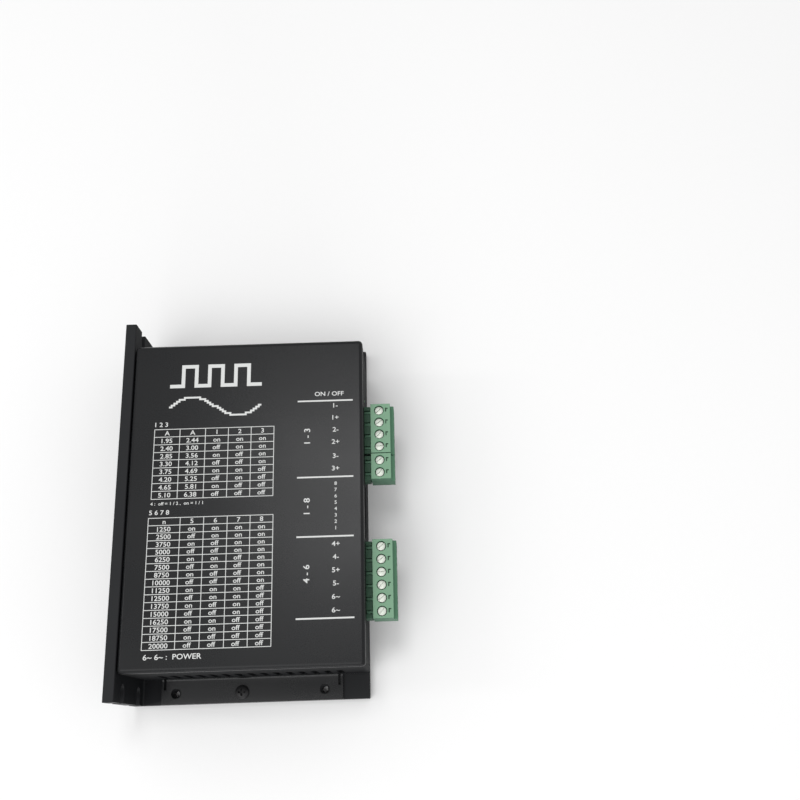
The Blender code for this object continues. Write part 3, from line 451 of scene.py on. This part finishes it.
# A solid dressed for the eye: edges rounded by a small bevel, flat faces kept flat.
# regions gives other materials to the faces whose centres pass a test.
def dressed(name, node, material, edge=0.0, segments=2, regions=()):
    mesh = mergedCopy(node)
    made = piece(name, mesh, material, bodyOf(node), node)
    centres = np.array([face.center for face in mesh.polygons])
    chosen = np.zeros(len(centres), np.int32)
    for region, (other, test) in enumerate(regions, 1):
        mesh.materials.append(finishes[other])
        chosen[test(*centres.T)] = region
    mesh.polygons.foreach_set("material_index", chosen)
    if edge:
        bevel = made.modifiers.new("edges", "BEVEL")
        bevel.width = edge
        bevel.segments = segments
        bevel.limit_method = "ANGLE"
        bevel.angle_limit = math.radians(32)
        bevel.use_clamp_overlap = False
        even = made.modifiers.new("flats", "WEIGHTED_NORMAL")
        even.keep_sharp = False
        mesh.shade_smooth()
    return made


body = {
    "edge": 0.22 * mm, "sheetEdge": 0.12 * mm, "baseTop": 5.0 * mm, "plateInner": -44.5 * mm,
    "cornerReach": -27.6 * mm, "wallTop": 45.9 * mm, "wallFoot": 8.0 * mm, "near": 0.05 * mm,
}


# Faces of the heat sink's inner corner, beside the cover, which get a duller finish: their
# reflection is turned down as painted shade in the corner.
def inCorner(x, y, z):
    onPlate = np.abs(x - body["plateInner"]) < body["near"]
    onBase = np.abs(z - body["baseTop"]) < body["near"]
    return onPlate & (z > body["baseTop"] + 2 * body["near"]) | onBase & (x < body["cornerReach"])


# The upright walls of the cover, which get a duller finish than its top: their reflection is turned
# down and roughened as painted shade on the walls.
def onWall(x, y, z):
    return (z > body["wallFoot"]) & (z < body["wallTop"])


# The cover's tabs, whose stronger reflection is a painted sheen that makes them read brighter.
def onTab(x, y, z):
    return z < body["wallFoot"]


dressed("heatSink", "heat_sink", "anodised", body["edge"],
        regions=[("anodisedCornerPaintedShade", inCorner)])
dressed("coverSheet", "cover", "paint", body["sheetEdge"],
        regions=[("paintWallPaintedShade", onWall), ("paintTabPaintedSheen", onTab)])
print("heat sink and cover dressed")


panScrew = {
    "headRadius": 2.8 * mm, "headHeight": 1.9 * mm, "root": 1.18 * mm, "crest": 1.48 * mm,
    "pitch": 0.5 * mm, "recessArm": 1.65 * mm, "recessHalf": 0.46 * mm, "recessDepth": 1.35 * mm,
    "taper": 0.62, "segments": 24, "tipHeight": 0.3 * mm, "gap": 0.05 * mm,
}


# Pan head: a flat underside, a rim, and a dome whose radius is that of the head times
# cos(a) ** 0.8 where its height is sin(a) of the whole, with a tapered cross sunk in it.
def panHeadScrew(length, top, spec=panScrew):
    seat = top - spec["headHeight"]
    bend = np.linspace(0, math.pi / 2, 9)[:-1]
    rim = spec["headHeight"] * 0.40
    dome = np.stack([spec["headRadius"] * np.cos(bend) ** 0.8,
                     seat + rim + (spec["headHeight"] - rim) * np.sin(bend)], axis=-1)
    head = turned([(spec["headRadius"] * 0.97, seat), *dome, (spec["headRadius"] * 0.04, top)],
                  spec["segments"])
    foot = top - length
    tipTop = foot + spec["tipHeight"]
    tip = turned([(spec["root"] * 0.6, foot), (spec["root"], tipTop)], spec["segments"])
    shank = threaded(spec["root"], spec["crest"], spec["pitch"],
                     tipTop + spec["gap"], seat - spec["gap"])
    screw = skin(np.concatenate([tip, shank, head]))
    arm, half = spec["recessArm"], spec["recessHalf"]
    corner = np.array([(half, half), (half, arm), (-half, arm)])
    quarter = np.array([(0, 1), (-1, 0)])
    outline = [corner @ np.linalg.matrix_power(quarter, turns) for turns in range(4)]
    cross = stacked(np.concatenate(outline), (top - spec["recessDepth"], top + 0.2 * mm))
    cross[0, :, :2] *= spec["taper"]
    return carved(screw, skin(cross))


for end in ("near", "far"):
    low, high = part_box(f"cover_screw_{end}")
    screw = panHeadScrew(high.z - low.z, high.z)
    screw.transform(Matrix.Translation(((low.x + high.x) / 2, (low.y + high.y) / 2, 0)))
    piece(f"coverScrew{end.title()}", screw, "blackSteel", bodyOf(f"cover_screw_{end}"),
          f"cover_screw_{end}")
print("cover screws made")


terminal = {
    "pitch": 5.08 * mm, "ways": {"signal_a": 4, "signal_b": 2, "power": 6}, "edge": 0.10 * mm,
    "headHeight": 0.90 * mm, "root": 1.16 * mm, "crest": 1.40 * mm, "thread": 0.5 * mm,
    "slotHalf": 0.30 * mm, "slotDepth": 0.65 * mm, "chamfer": 0.16 * mm,
    "slotAngles": (42, 35, 50, 4, 38, 46, 40, 33, 2, 48, 37, 44),
    "markDepth": 1.2 * mm, "tongue": (5.0 * mm, 6.0 * mm), "tongueBack": 2.7 * mm,
    "tongueHalf": 1.3 * mm, "tongueFront": 3.0 * mm, "markBack": 1.9 * mm, "topSkin": 0.06 * mm,
    "linerOuter": 0.78 * mm, "linerInner": 0.66 * mm, "linerBack": 0.25 * mm,
    "linerFront": 5.2 * mm, "pinHalf": 0.5 * mm, "pinHeight": 31.9 * mm, "pinBehind": 1.4 * mm,
    "pinBefore": 0.35 * mm, "pinSkin": 0.05 * mm, "clampEdge": 0.06 * mm, "headerEdge": 0.08 * mm,
    "segments": 24, "tipHeight": 0.3 * mm, "gap": 0.05 * mm,
}


# Slotted terminal screw: threaded shank, cylindrical head with a chamfer, straight slot.
def slottedScrew(low, high, headRadius, spec=terminal):
    seat = high - spec["headHeight"]
    chamfer = spec["chamfer"]
    gap, segments = spec["gap"], spec["segments"]
    head = turned([(headRadius - gap, seat), (headRadius, seat + gap),
                   (headRadius, high - chamfer),
                   (headRadius - chamfer * 0.3, high - chamfer * 0.3),
                   (headRadius - chamfer, high)], segments)
    tipTop = low + spec["tipHeight"]
    tip = turned([(spec["root"] * 0.7, low), (spec["root"], tipTop)], segments)
    shank = threaded(spec["root"], spec["crest"], spec["thread"], tipTop + gap, seat - gap)
    half = spec["slotHalf"]
    slot = blockMesh((-3 * mm, -half, high - spec["slotDepth"]), (3 * mm, half, high + mm))
    return carved(skin(np.concatenate([tip, shank, head])), slot)


# Square liner of a contact: a wall between two squares, from one X to another.
def socketLiner(centre, ends, spec=terminal):
    y, z = centre
    corners = np.array([(-1, -1), (1, -1), (1, 1), (-1, 1)])
    outer, inner = spec["linerOuter"], spec["linerInner"]
    rings = [np.column_stack([np.full(4, x), y + corners[:, 0] * half, z + corners[:, 1] * half])
             for half, x in zip((outer, outer, inner, inner), (*ends, *ends[::-1]))]
    return skin(np.array(rings), endToEnd=True)


def joined(name, meshes):
    bm = bmesh.new()
    for mesh in meshes:
        bm.from_mesh(mesh)
    made = bpy.data.meshes.new(name)
    bm.to_mesh(made)
    bm.free()
    return made


firstLow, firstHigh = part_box("terminal_screw_1")
screwX = (firstLow.x + firstHigh.x) / 2
headRadius = (firstHigh.y - firstLow.y) / 2
number = 0
for name, ways in terminal["ways"].items():
    plugLow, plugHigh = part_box(f"{name}_plug")
    headerLow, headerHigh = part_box(f"{name}_header")
    middle = (plugLow.y + plugHigh.y) / 2
    poles = middle + terminal["pitch"] * (np.arange(ways) - (ways - 1) / 2)[::-1]
    title = "".join(word.title() for word in name.split("_"))

    def onTongue(x, y, z):
        under, over = terminal["tongue"]
        off = np.abs(y[:, None] - poles).min(axis=1)
        return ((z - plugLow.z > under) & (z - plugLow.z < over) & (off < terminal["tongueHalf"])
                & (x < screwX + terminal["tongueFront"]) & (x > screwX - terminal["tongueBack"]))

    def onPin(x, y, z):
        off = np.abs(y[:, None] - poles).min(axis=1)
        half = terminal["pinHalf"]
        reach = half + terminal["pinSkin"]
        level = ((x > plugLow.x - terminal["pinBefore"])
                 & (np.abs(z - terminal["pinHeight"]) < reach))
        upright = ((x < headerLow.x + terminal["pinBehind"])
                   & (np.abs(x - headerLow.x - half) < reach * 1.05))
        return (off < reach) & (level | upright)

    # Faces of the recessed marks on the plug, which get painted shade.
    def inMark(x, y, z):
        return ((x > screwX + terminal["markBack"]) & (z < plugHigh.z - 0.2 * mm)
                & (z > plugHigh.z - terminal["markDepth"]))

    # The flat top of the plug, painted paler than its sides: painted light on the top, painted
    # shade on the sides, one green plastic in both.
    def onTop(x, y, z):
        return z > plugHigh.z - terminal["topSkin"]

    dressed(f"plug{title}", f"{name}_plug", "greenPlugPaintedShade", terminal["edge"],
            regions=[("greenPlugPaintedLight", onTop), ("clampNickel", onTongue), ("greenRecessPaintedShade", inMark)])
    dressed(f"header{title}", f"{name}_header", "greenHeaderPaintedShade",
            terminal["headerEdge"], regions=[("pinTin", onPin)])
    linerEnds = plugLow.x + terminal["linerBack"], screwX - terminal["linerFront"]
    liners = [socketLiner((y, terminal["pinHeight"]), linerEnds) for y in poles]
    piece(f"contacts{title}", joined("contacts", liners), "clampNickel", f"{name}_plug")
    for y in poles:
        number += 1
        node = f"terminal_screw_{number}"
        low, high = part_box(node)
        screw = slottedScrew(low.z, high.z, headRadius)
        turn = Matrix.Rotation(math.radians(terminal["slotAngles"][number - 1]), 4, "Z")
        screw.transform(Matrix.Translation((screwX, float(y), 0)) @ turn)
        piece(f"terminalScrew{number}", screw, "screwZinc", bodyOf(node), node)
        dressed(f"wireClamp{number}", f"wire_clamp_{number}", "clampNickel",
                terminal["clampEdge"])
print("terminals dressed, screws:", number)


printed = {
    "raise": 0.02 * mm, "thick": 0.02 * mm, "line": 0.26 * mm, "rule": 0.62 * mm,
    "numbers": 1.85 * mm, "words": 1.80 * mm, "weight": 0.012, "resolution": 3, "wider": 1.12,
    "currentGrid": {"columns": (-34.5, -24.25, -13.95, -4.7, 4.5, 13.7), "top": 29.4,
                    "bottom": 0.85, "rows": 9, "numbered": 2},
    "pulseGrid": {"columns": (-35.15, -22.6, -13.35, -4.1, 4.9, 13.9), "top": -6.7, "bottom": -57.1,
                  "rows": 17, "numbered": 1},
    "captions": (("1 2 3", -34.4, 31.45, 1.8),
                 ("4 :  off = 1 / 2 ,  on = 1 / 1", -34.7, -1.0, 1.25),
                 ("5 6 7 8", -35.0, -4.5, 1.8), ("6~ 6~ :  POWER", -34.4, -59.7, 2.0)),
    "rules": (39.5, 7.75, -16.0, -47.35), "ruleReach": (23.2, 45.65),
    "lampWords": ("ON / OFF", 36.05, 42.5, 1.8), "labelX": 38.6, "labelHeight": 1.9,
    "switchHeight": 1.35, "groups": (("1 - 3", 24.8), ("1 - 8", -3.8), ("4 - 6", -30.4)),
    "groupX": 27.1, "groupHeight": 2.4, "amps": (1.5, 0.45), "peak": (1, 1.25), "pulses": 1250,
}
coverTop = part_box("cover")[1].z
letters = {}


# Some words as points and faces, starting at the origin, their type of size one.
def lettering(words):
    if words not in letters:
        curve = bpy.data.curves.new("words", "FONT")
        curve.body = words
        curve.offset = printed["weight"]
        curve.extrude = 0.01
        curve.resolution_u = printed["resolution"]
        holder = linked("words", curve)
        graph = bpy.context.evaluated_depsgraph_get()
        mesh = bpy.data.meshes.new_from_object(holder.evaluated_get(graph))
        bpy.data.objects.remove(holder)
        points = np.array([corner.co for corner in mesh.vertices])
        letters[words] = points, [list(face.vertices) for face in mesh.polygons]
    return letters[words]


capHeight = np.ptp(lettering("H")[0][:, 1])
printPoints, printFaces = [], []


# Adds points and faces, given flat in millimetres on the cover, to the print.
def addPrint(points, faces):
    start = sum(len(group) for group in printPoints)
    printPoints.append(points)
    printFaces.extend([corner + start for corner in face] for face in faces)


# Words of a capital height in millimetres, centred on a point or starting from it.
def printWords(words, x, y, height, centred=True, upright=False):
    points, faces = lettering(words)
    points = points[:, :2] * (height / capHeight * printed["wider"], height / capHeight)
    wide = np.ptp(points[:, 0])
    start = points[:, 0].min() + (wide / 2 if centred else 0)
    points = points - (start, height / 2)
    if upright:
        points = np.column_stack([-points[:, 1], points[:, 0]])
    thick = lettering(words)[0][:, 2:] > 0
    addPrint(np.column_stack([points + (x, y), thick]), faces)


# The step to the left of a flat path at each of its points, one unit from the path. It is
# square to the path at the ends, and at corners it lies along the bisector.
def mitred(path):
    way = np.diff(path, axis=0)
    way /= np.linalg.norm(way, axis=1)[:, None]
    side = np.column_stack([-way[:, 1], way[:, 0]])
    bisector = (side[:-1] + side[1:]) / (1 + (side[:-1] * side[1:]).sum(axis=1))[:, None]
    return np.vstack([side[:1], bisector, side[-1:]])


# A line of some width along a path of points in millimetres, with mitred corners.
def printLine(path, width):
    path = np.array(path, float)
    side = mitred(path) * width / 2
    left, right = path + side, path - side
    sides = ((left, 0), (right, 0), (right, 1), (left, 1))
    rings = np.array([np.column_stack([flat, np.full(len(path), level)]) for flat, level in sides])
    strip = skin(rings.transpose(1, 0, 2))
    addPrint(np.array([corner.co for corner in strip.vertices]),
             [list(face.vertices) for face in strip.polygons])
    bpy.data.meshes.remove(strip)


# A ruled table. cells(row, column) gives the words of each cell.
def printGrid(grid, cells):
    columns, rows, line = grid["columns"], grid["rows"], printed["line"] / mm
    levels = np.linspace(grid["top"], grid["bottom"], rows + 1)
    for level in levels:
        printLine([(columns[0] - line / 2, level), (columns[-1] + line / 2, level)], line)
    for upper, lower in zip(levels, levels[1:]):
        for x in columns:
            printLine([(x, upper - line / 2), (x, lower + line / 2)], line)
    for row in range(rows):
        for column in range(len(columns) - 1):
            x = (columns[column] + columns[column + 1]) / 2
            size = printed["numbers"] if row == 0 or column < grid["numbered"] else printed["words"]
            printWords(cells(row, column), x, (levels[row] + levels[row + 1]) / 2, size / mm)


def onOff(row, place):
    return "off" if (row - 1) >> place & 1 else "on"


def currentCell(row, column):
    if column < 2:
        first, step = printed["amps"]
        return "A" if row == 0 else f"{(first + step * row) * printed['peak'][column]:.2f}"
    return str(column - 1) if row == 0 else onOff(row, column - 2)


def pulseCell(row, column):
    if column > 0:
        return str(column + 4) if row == 0 else onOff(row, column - 1)
    return "n" if row == 0 else str(printed["pulses"] * row)


printGrid(printed["currentGrid"], currentCell)
printGrid(printed["pulseGrid"], pulseCell)
for caption in printed["captions"]:
    printWords(*caption, centred=False)
for level in printed["rules"]:
    printLine([(x, level) for x in printed["ruleReach"]], printed["rule"] / mm)
printWords(*printed["lampWords"])
terminalLabels = ("1-", "1+", "2-", "2+", "3-", "3+", "4+", "4-", "5+", "5-", "6~", "6~")
for n, label in enumerate(terminalLabels, 1):
    y = middleY(f"terminal_screw_{n}") / mm
    printWords(label, printed["labelX"], y, printed["labelHeight"])
for n in range(1, 9):
    y = middleY(f"switch_slider_{n}") / mm
    printWords(str(n), printed["labelX"], y, printed["switchHeight"])
for group, y in printed["groups"]:
    printWords(group, printed["groupX"], y, printed["groupHeight"], upright=True)
print("print laid out, words:", len(letters))

# Signs that any stepper drive could carry: a row of square pulses, and under it one turn of
# a motor's current in small steps, which is a sine rounded to whole steps.
pulse = {"left": -29.2, "low": 47.55, "high": 55.9, "width": 1.5, "half": 5.37, "count": 3}
wave = {"left": -29.2, "wide": 37.6, "middle": 38.65, "height": 3.9, "steps": 36, "levels": 5,
        "width": 0.75}
x = pulse["left"] + pulse["half"] * np.arange(2 * pulse["count"] + 2)
level = np.where(np.arange(2 * pulse["count"] + 1) % 2, pulse["high"], pulse["low"])
printLine([(x[n + end], level[n]) for n in range(len(level)) for end in (0, 1)], pulse["width"])
x = wave["left"] + wave["wide"] * np.arange(wave["steps"] + 1) / wave["steps"]
turn = 2 * math.pi * (np.arange(wave["steps"]) + 0.5) / wave["steps"]
level = wave["middle"] + wave["height"] * np.round(np.sin(turn) * wave["levels"]) / wave["levels"]
kept = [0] + [n for n in range(1, wave["steps"]) if level[n] != level[n - 1]] + [wave["steps"]]
printLine([(x[n], level[m]) for m, after in zip(kept, kept[1:]) for n in (m, after)], wave["width"])

points = np.vstack(printPoints)
points[:, :2] *= mm
points[:, 2] = coverTop + printed["raise"] + points[:, 2] * printed["thick"]
printMesh = bpy.data.meshes.new("print")
printMesh.from_pydata(points.tolist(), [], printFaces)
piece("coverPrint", printMesh, "ink", "drive")
print("print made, faces:", len(printFaces))


# Switch: housing, sliders, and its raised marks ON and 1 to 8 on the front.
switch = {"edge": 0.12 * mm, "sliderEdge": 0.10 * mm, "markHeight": 1.1 * mm, "proud": 0.02 * mm,
          "markIn": 1.35 * mm, "onOff": 6.5 * mm}
dressed("switchHousing", "switch_housing", "switchBlue", switch["edge"])
housingLow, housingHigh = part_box("switch_housing")
marks = []
for n in range(1, 9):
    dressed(f"switchSlider{n}", f"switch_slider_{n}", "sliderWhite",
            switch["sliderEdge"])
    marks.append((str(n), middleY(f"switch_slider_{n}"), housingLow.z + switch["markIn"]))
marks.append(("ON", middleY("switch_housing") - switch["onOff"], housingHigh.z - switch["markIn"]))
markMeshes = []
for words, y, z in marks:
    points, faces = lettering(words)
    size = switch["markHeight"] / capHeight
    flat = (points[:, :2] - (np.ptp(points[:, 0]) / 2 + points[:, 0].min(), capHeight / 2)) * size
    front = housingHigh.x + switch["proud"] * (points[:, 2] > 0)
    markMeshes.append(meshOf(np.column_stack([front, y + flat[:, 0], z + flat[:, 1]]), faces))
piece("switchMarks", joined("marks", markMeshes), "ink", "drive")


# Lamp: flanged body with a dome, x being its axis, and two legs bent down to the board.
lamp = {"domeSteps": 10, "legHalf": 0.25 * mm, "legSpread": 0.89 * mm, "legBack": 1.75 * mm,
        "flange": 0.4 * mm, "flangeHeight": 1.0 * mm, "straight": 4.1 * mm}
lampLow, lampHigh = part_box("status_lamp")
flangeRadius = (lampHigh.y - lampLow.y) / 2
lampRadius = flangeRadius - lamp["flange"]
lampBack = lampHigh.x - lampRadius - lamp["straight"]
lampY = middleY("status_lamp")
lampZ = lampHigh.z - flangeRadius
bend = np.linspace(0, math.pi / 2, lamp["domeSteps"])[:-1]
dome = np.stack([lampRadius * np.cos(bend), lamp["straight"] + lampRadius * np.sin(bend)], axis=-1)
lens = skin(turned([(flangeRadius, 0), (flangeRadius, lamp["flangeHeight"]),
                    (lampRadius, lamp["flangeHeight"] + 0.02 * mm), *dome,
                    (lampRadius * 0.06, lamp["straight"] + lampRadius)], 32))
lens.transform(Matrix.Translation((lampBack, lampY, lampZ)) @ Matrix.Rotation(math.pi / 2, 4, "Y"))
piece("lampLens", lens, "lens", "drive", "status_lamp")


# A square wire carried along a path of points in one XZ plane, corners mitred.
def bentWire(path, y, half):
    path = np.array(path, float)
    side = mitred(path)
    rings = [np.column_stack([path[:, 0] + s * half * side[:, 0], np.full(len(path), y + t * half),
                              path[:, 1] + s * half * side[:, 1]])
             for s, t in ((-1, -1), (1, -1), (1, 1), (-1, 1))]
    return skin(np.stack(rings, axis=1))


legX = lampBack - lamp["legBack"]
legPath = [(lampBack + 0.4 * mm, lampZ), (legX, lampZ), (legX, lampLow.z)]
legs = [bentWire(legPath, lampY + side * lamp["legSpread"], lamp["legHalf"]) for side in (-1, 1)]
piece("lampLegs", joined("legs", legs), "pinTin", "drive")
print("switch and lamp made")


# Inside: seen through the vents and windows, and when a plug is out.
inside = {
    "boardTop": 27.0 * mm, "boardUnder": 25.4 * mm, "skin": 0.05 * mm, "edge": 0.12 * mm,
    "standoffEdge": 0.1 * mm, "legsFrom": -26.6 * mm, "legsTo": -22 * mm, "bodiesTop": 11 * mm,
    "bodiesTo": -26 * mm, "rectifierTop": 10.0 * mm, "rectifierTo": 31.05 * mm,
    "canFoot": 0.25 * mm,
}
boardScrew = {**panScrew, "headRadius": 2.6 * mm, "headHeight": 1.7 * mm, "crest": 1.38 * mm}


def smallParts(x, y, z):
    return (z > inside["boardTop"] + inside["skin"]) & (x > inside["legsTo"])


def transistorBodies(x, y, z):
    return (z < inside["bodiesTop"]) & (x < inside["bodiesTo"])


def transistorLegs(x, y, z):
    under = z < inside["boardUnder"] - inside["skin"]
    over = z > inside["boardTop"] + inside["skin"]
    return (x < inside["legsTo"]) & (x > inside["legsFrom"]) & (under | over)


def rectifierLegs(x, y, z):
    return (x > inside["rectifierTo"]) | (z > inside["rectifierTop"])


def canLegs(x, y, z):
    return z < inside["boardTop"] + inside["canFoot"]


dressed("mainBoard", "main_board", "solderMask",
        regions=[("epoxy", smallParts), ("epoxy", transistorBodies), ("pinTin", transistorLegs)])
dressed("bridgeRectifier", "bridge_rectifier", "epoxy",
        regions=[("pinTin", rectifierLegs)])
for n in (1, 2):
    dressed(f"bulkCapacitor{n}", f"bulk_capacitor_{n}", "sleeve",
            regions=[("pinTin", canLegs)])
dressed("storageInductor", "storage_inductor", "ferrite")
dressed("clampBar", "clamp_bar", "clampNickel", inside["edge"])
dressed("thermalPad", "thermal_pad", "silicone")
for n in range(1, 5):
    dressed(f"standoff{n}", f"standoff_{n}", "brass", inside["standoffEdge"])
    low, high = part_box(f"board_screw_{n}")
    screw = panHeadScrew(high.z - low.z, high.z, boardScrew)
    screw.transform(Matrix.Translation(((low.x + high.x) / 2, (low.y + high.y) / 2, 0)))
    piece(f"boardScrew{n}", screw, "screwZinc", "drive", f"board_screw_{n}")
print("inside dressed")


# Units of a lamp: how bright it alone makes a level white card, 1 being full white.
studio = {
    "floorSize": 3.0, "fade": (0.30, 0.95), "floorSeen": 0.97, "floorBounce": 0.40,
    "worldDiffuse": 0.60,
    "lights": (
        {"name": "key", "at": (-0.35, -0.65, 1.45), "size": (1.0, 1.0), "units": 0.28},
        {"name": "left", "at": (-1.15, 0.08, 0.95), "size": (0.12, 0.40), "units": 0.03},
        {"name": "overhead", "at": (-0.02, 0.24, 1.10), "size": (0.24, 0.24), "units": 0.15},
        {"name": "front", "at": (0.10, -1.10, 0.25), "size": (0.70, 0.09), "units": 0.046},
    ),
}


# What the camera, a mirror and glass see of the floor and the surroundings is white, and
# less of it falls back on the object as plain light.
def seenDirectly(root):
    path = {name: root.node("ShaderNodeLightPath", output=name)
            for name in ("Is Camera Ray", "Is Glossy Ray", "Is Transmission Ray")}
    seen = path["Is Camera Ray"].maths("MAXIMUM", path["Is Camera Ray"], path["Is Glossy Ray"])
    return seen.maths("MAXIMUM", seen, path["Is Transmission Ray"])


def floorPaper(root):
    fibre = noise(place(root), 3 * mm, 3)
    paper = mix(fibre, (studio["floorSeen"] * 0.99,) * 3, (studio["floorSeen"],) * 3)
    return {"Base Color": mix(seenDirectly(root), (studio["floorBounce"],) * 3, paper),
            "Roughness": 0.85 + fibre * 0.05}


# Far from the object the paper fades into the white surroundings.
floorMaterial = finish("floorPaper", {"Specular IOR Level": 0.0}, floorPaper)
tree = floorMaterial.node_tree
root = Wire(tree)
at = place(root)
distance = at.node("ShaderNodeVectorMath", {"operation": "LENGTH"}, {0: at}, output=1)
paper = Wire(tree, tree.nodes["Principled BSDF"].outputs[0])
blend = root.node("ShaderNodeMixShader", inputs={
    0: rise(distance, *studio["fade"]), 1: paper, 2: root.node("ShaderNodeBsdfTransparent")})
tree.links.new(blend.socket, tree.nodes["Material Output"].inputs["Surface"])
reach = studio["floorSize"] / 2
corners = np.array([(-reach, -reach, 0), (reach, -reach, 0), (reach, reach, 0), (-reach, reach, 0)])
floorMesh = meshOf(corners - (0, 0, 0.1 * mm), [[0, 1, 2, 3]])
floorMesh.materials.append(floorMaterial)
linked("floor", floorMesh)

world = bpy.data.worlds.new("studio")
world.use_nodes = True
bpy.context.scene.world = world
sky = Wire(world.node_tree)
background = world.node_tree.nodes["Background"]
background.inputs["Color"].default_value = (1.0, 1.0, 1.0, 1.0)
strength = studio["worldDiffuse"] + seenDirectly(sky) * (1 - studio["worldDiffuse"])
world.node_tree.links.new(strength.socket, background.inputs["Strength"])

for spec in studio["lights"]:
    light = bpy.data.lights.new(spec["name"], "AREA")
    light.shape = "RECTANGLE"
    light.size, light.size_y = spec["size"]
    away = Vector(spec["at"])
    light.energy = spec["units"] * math.pi ** 2 * away.length ** 3 / away.z
    holder = linked(spec["name"], light)
    holder.location = away
    holder.rotation_mode = "QUATERNION"
    holder.rotation_quaternion = away.to_track_quat("Z", "Y")

# The camera hangs above the near right of the drive, tilted back over it.
camera = {"lens": 49.64, "at": (0.0751, -0.0932, 0.4794), "tilt": (19.508, -0.553, -1.754),
          "shift": (-0.0425, -0.0614)}
cameraData = bpy.data.cameras.new("camera")
cameraData.lens = camera["lens"]
cameraData.sensor_width = 36.0
cameraData.shift_x, cameraData.shift_y = camera["shift"]
viewer = linked("camera", cameraData)
viewer.location = camera["at"]
viewer.rotation_mode = "ZYX"
viewer.rotation_euler = [math.radians(angle) for angle in camera["tilt"]]
bpy.context.scene.camera = viewer
bpy.context.scene.view_settings.view_transform = "Standard"
print("studio set")
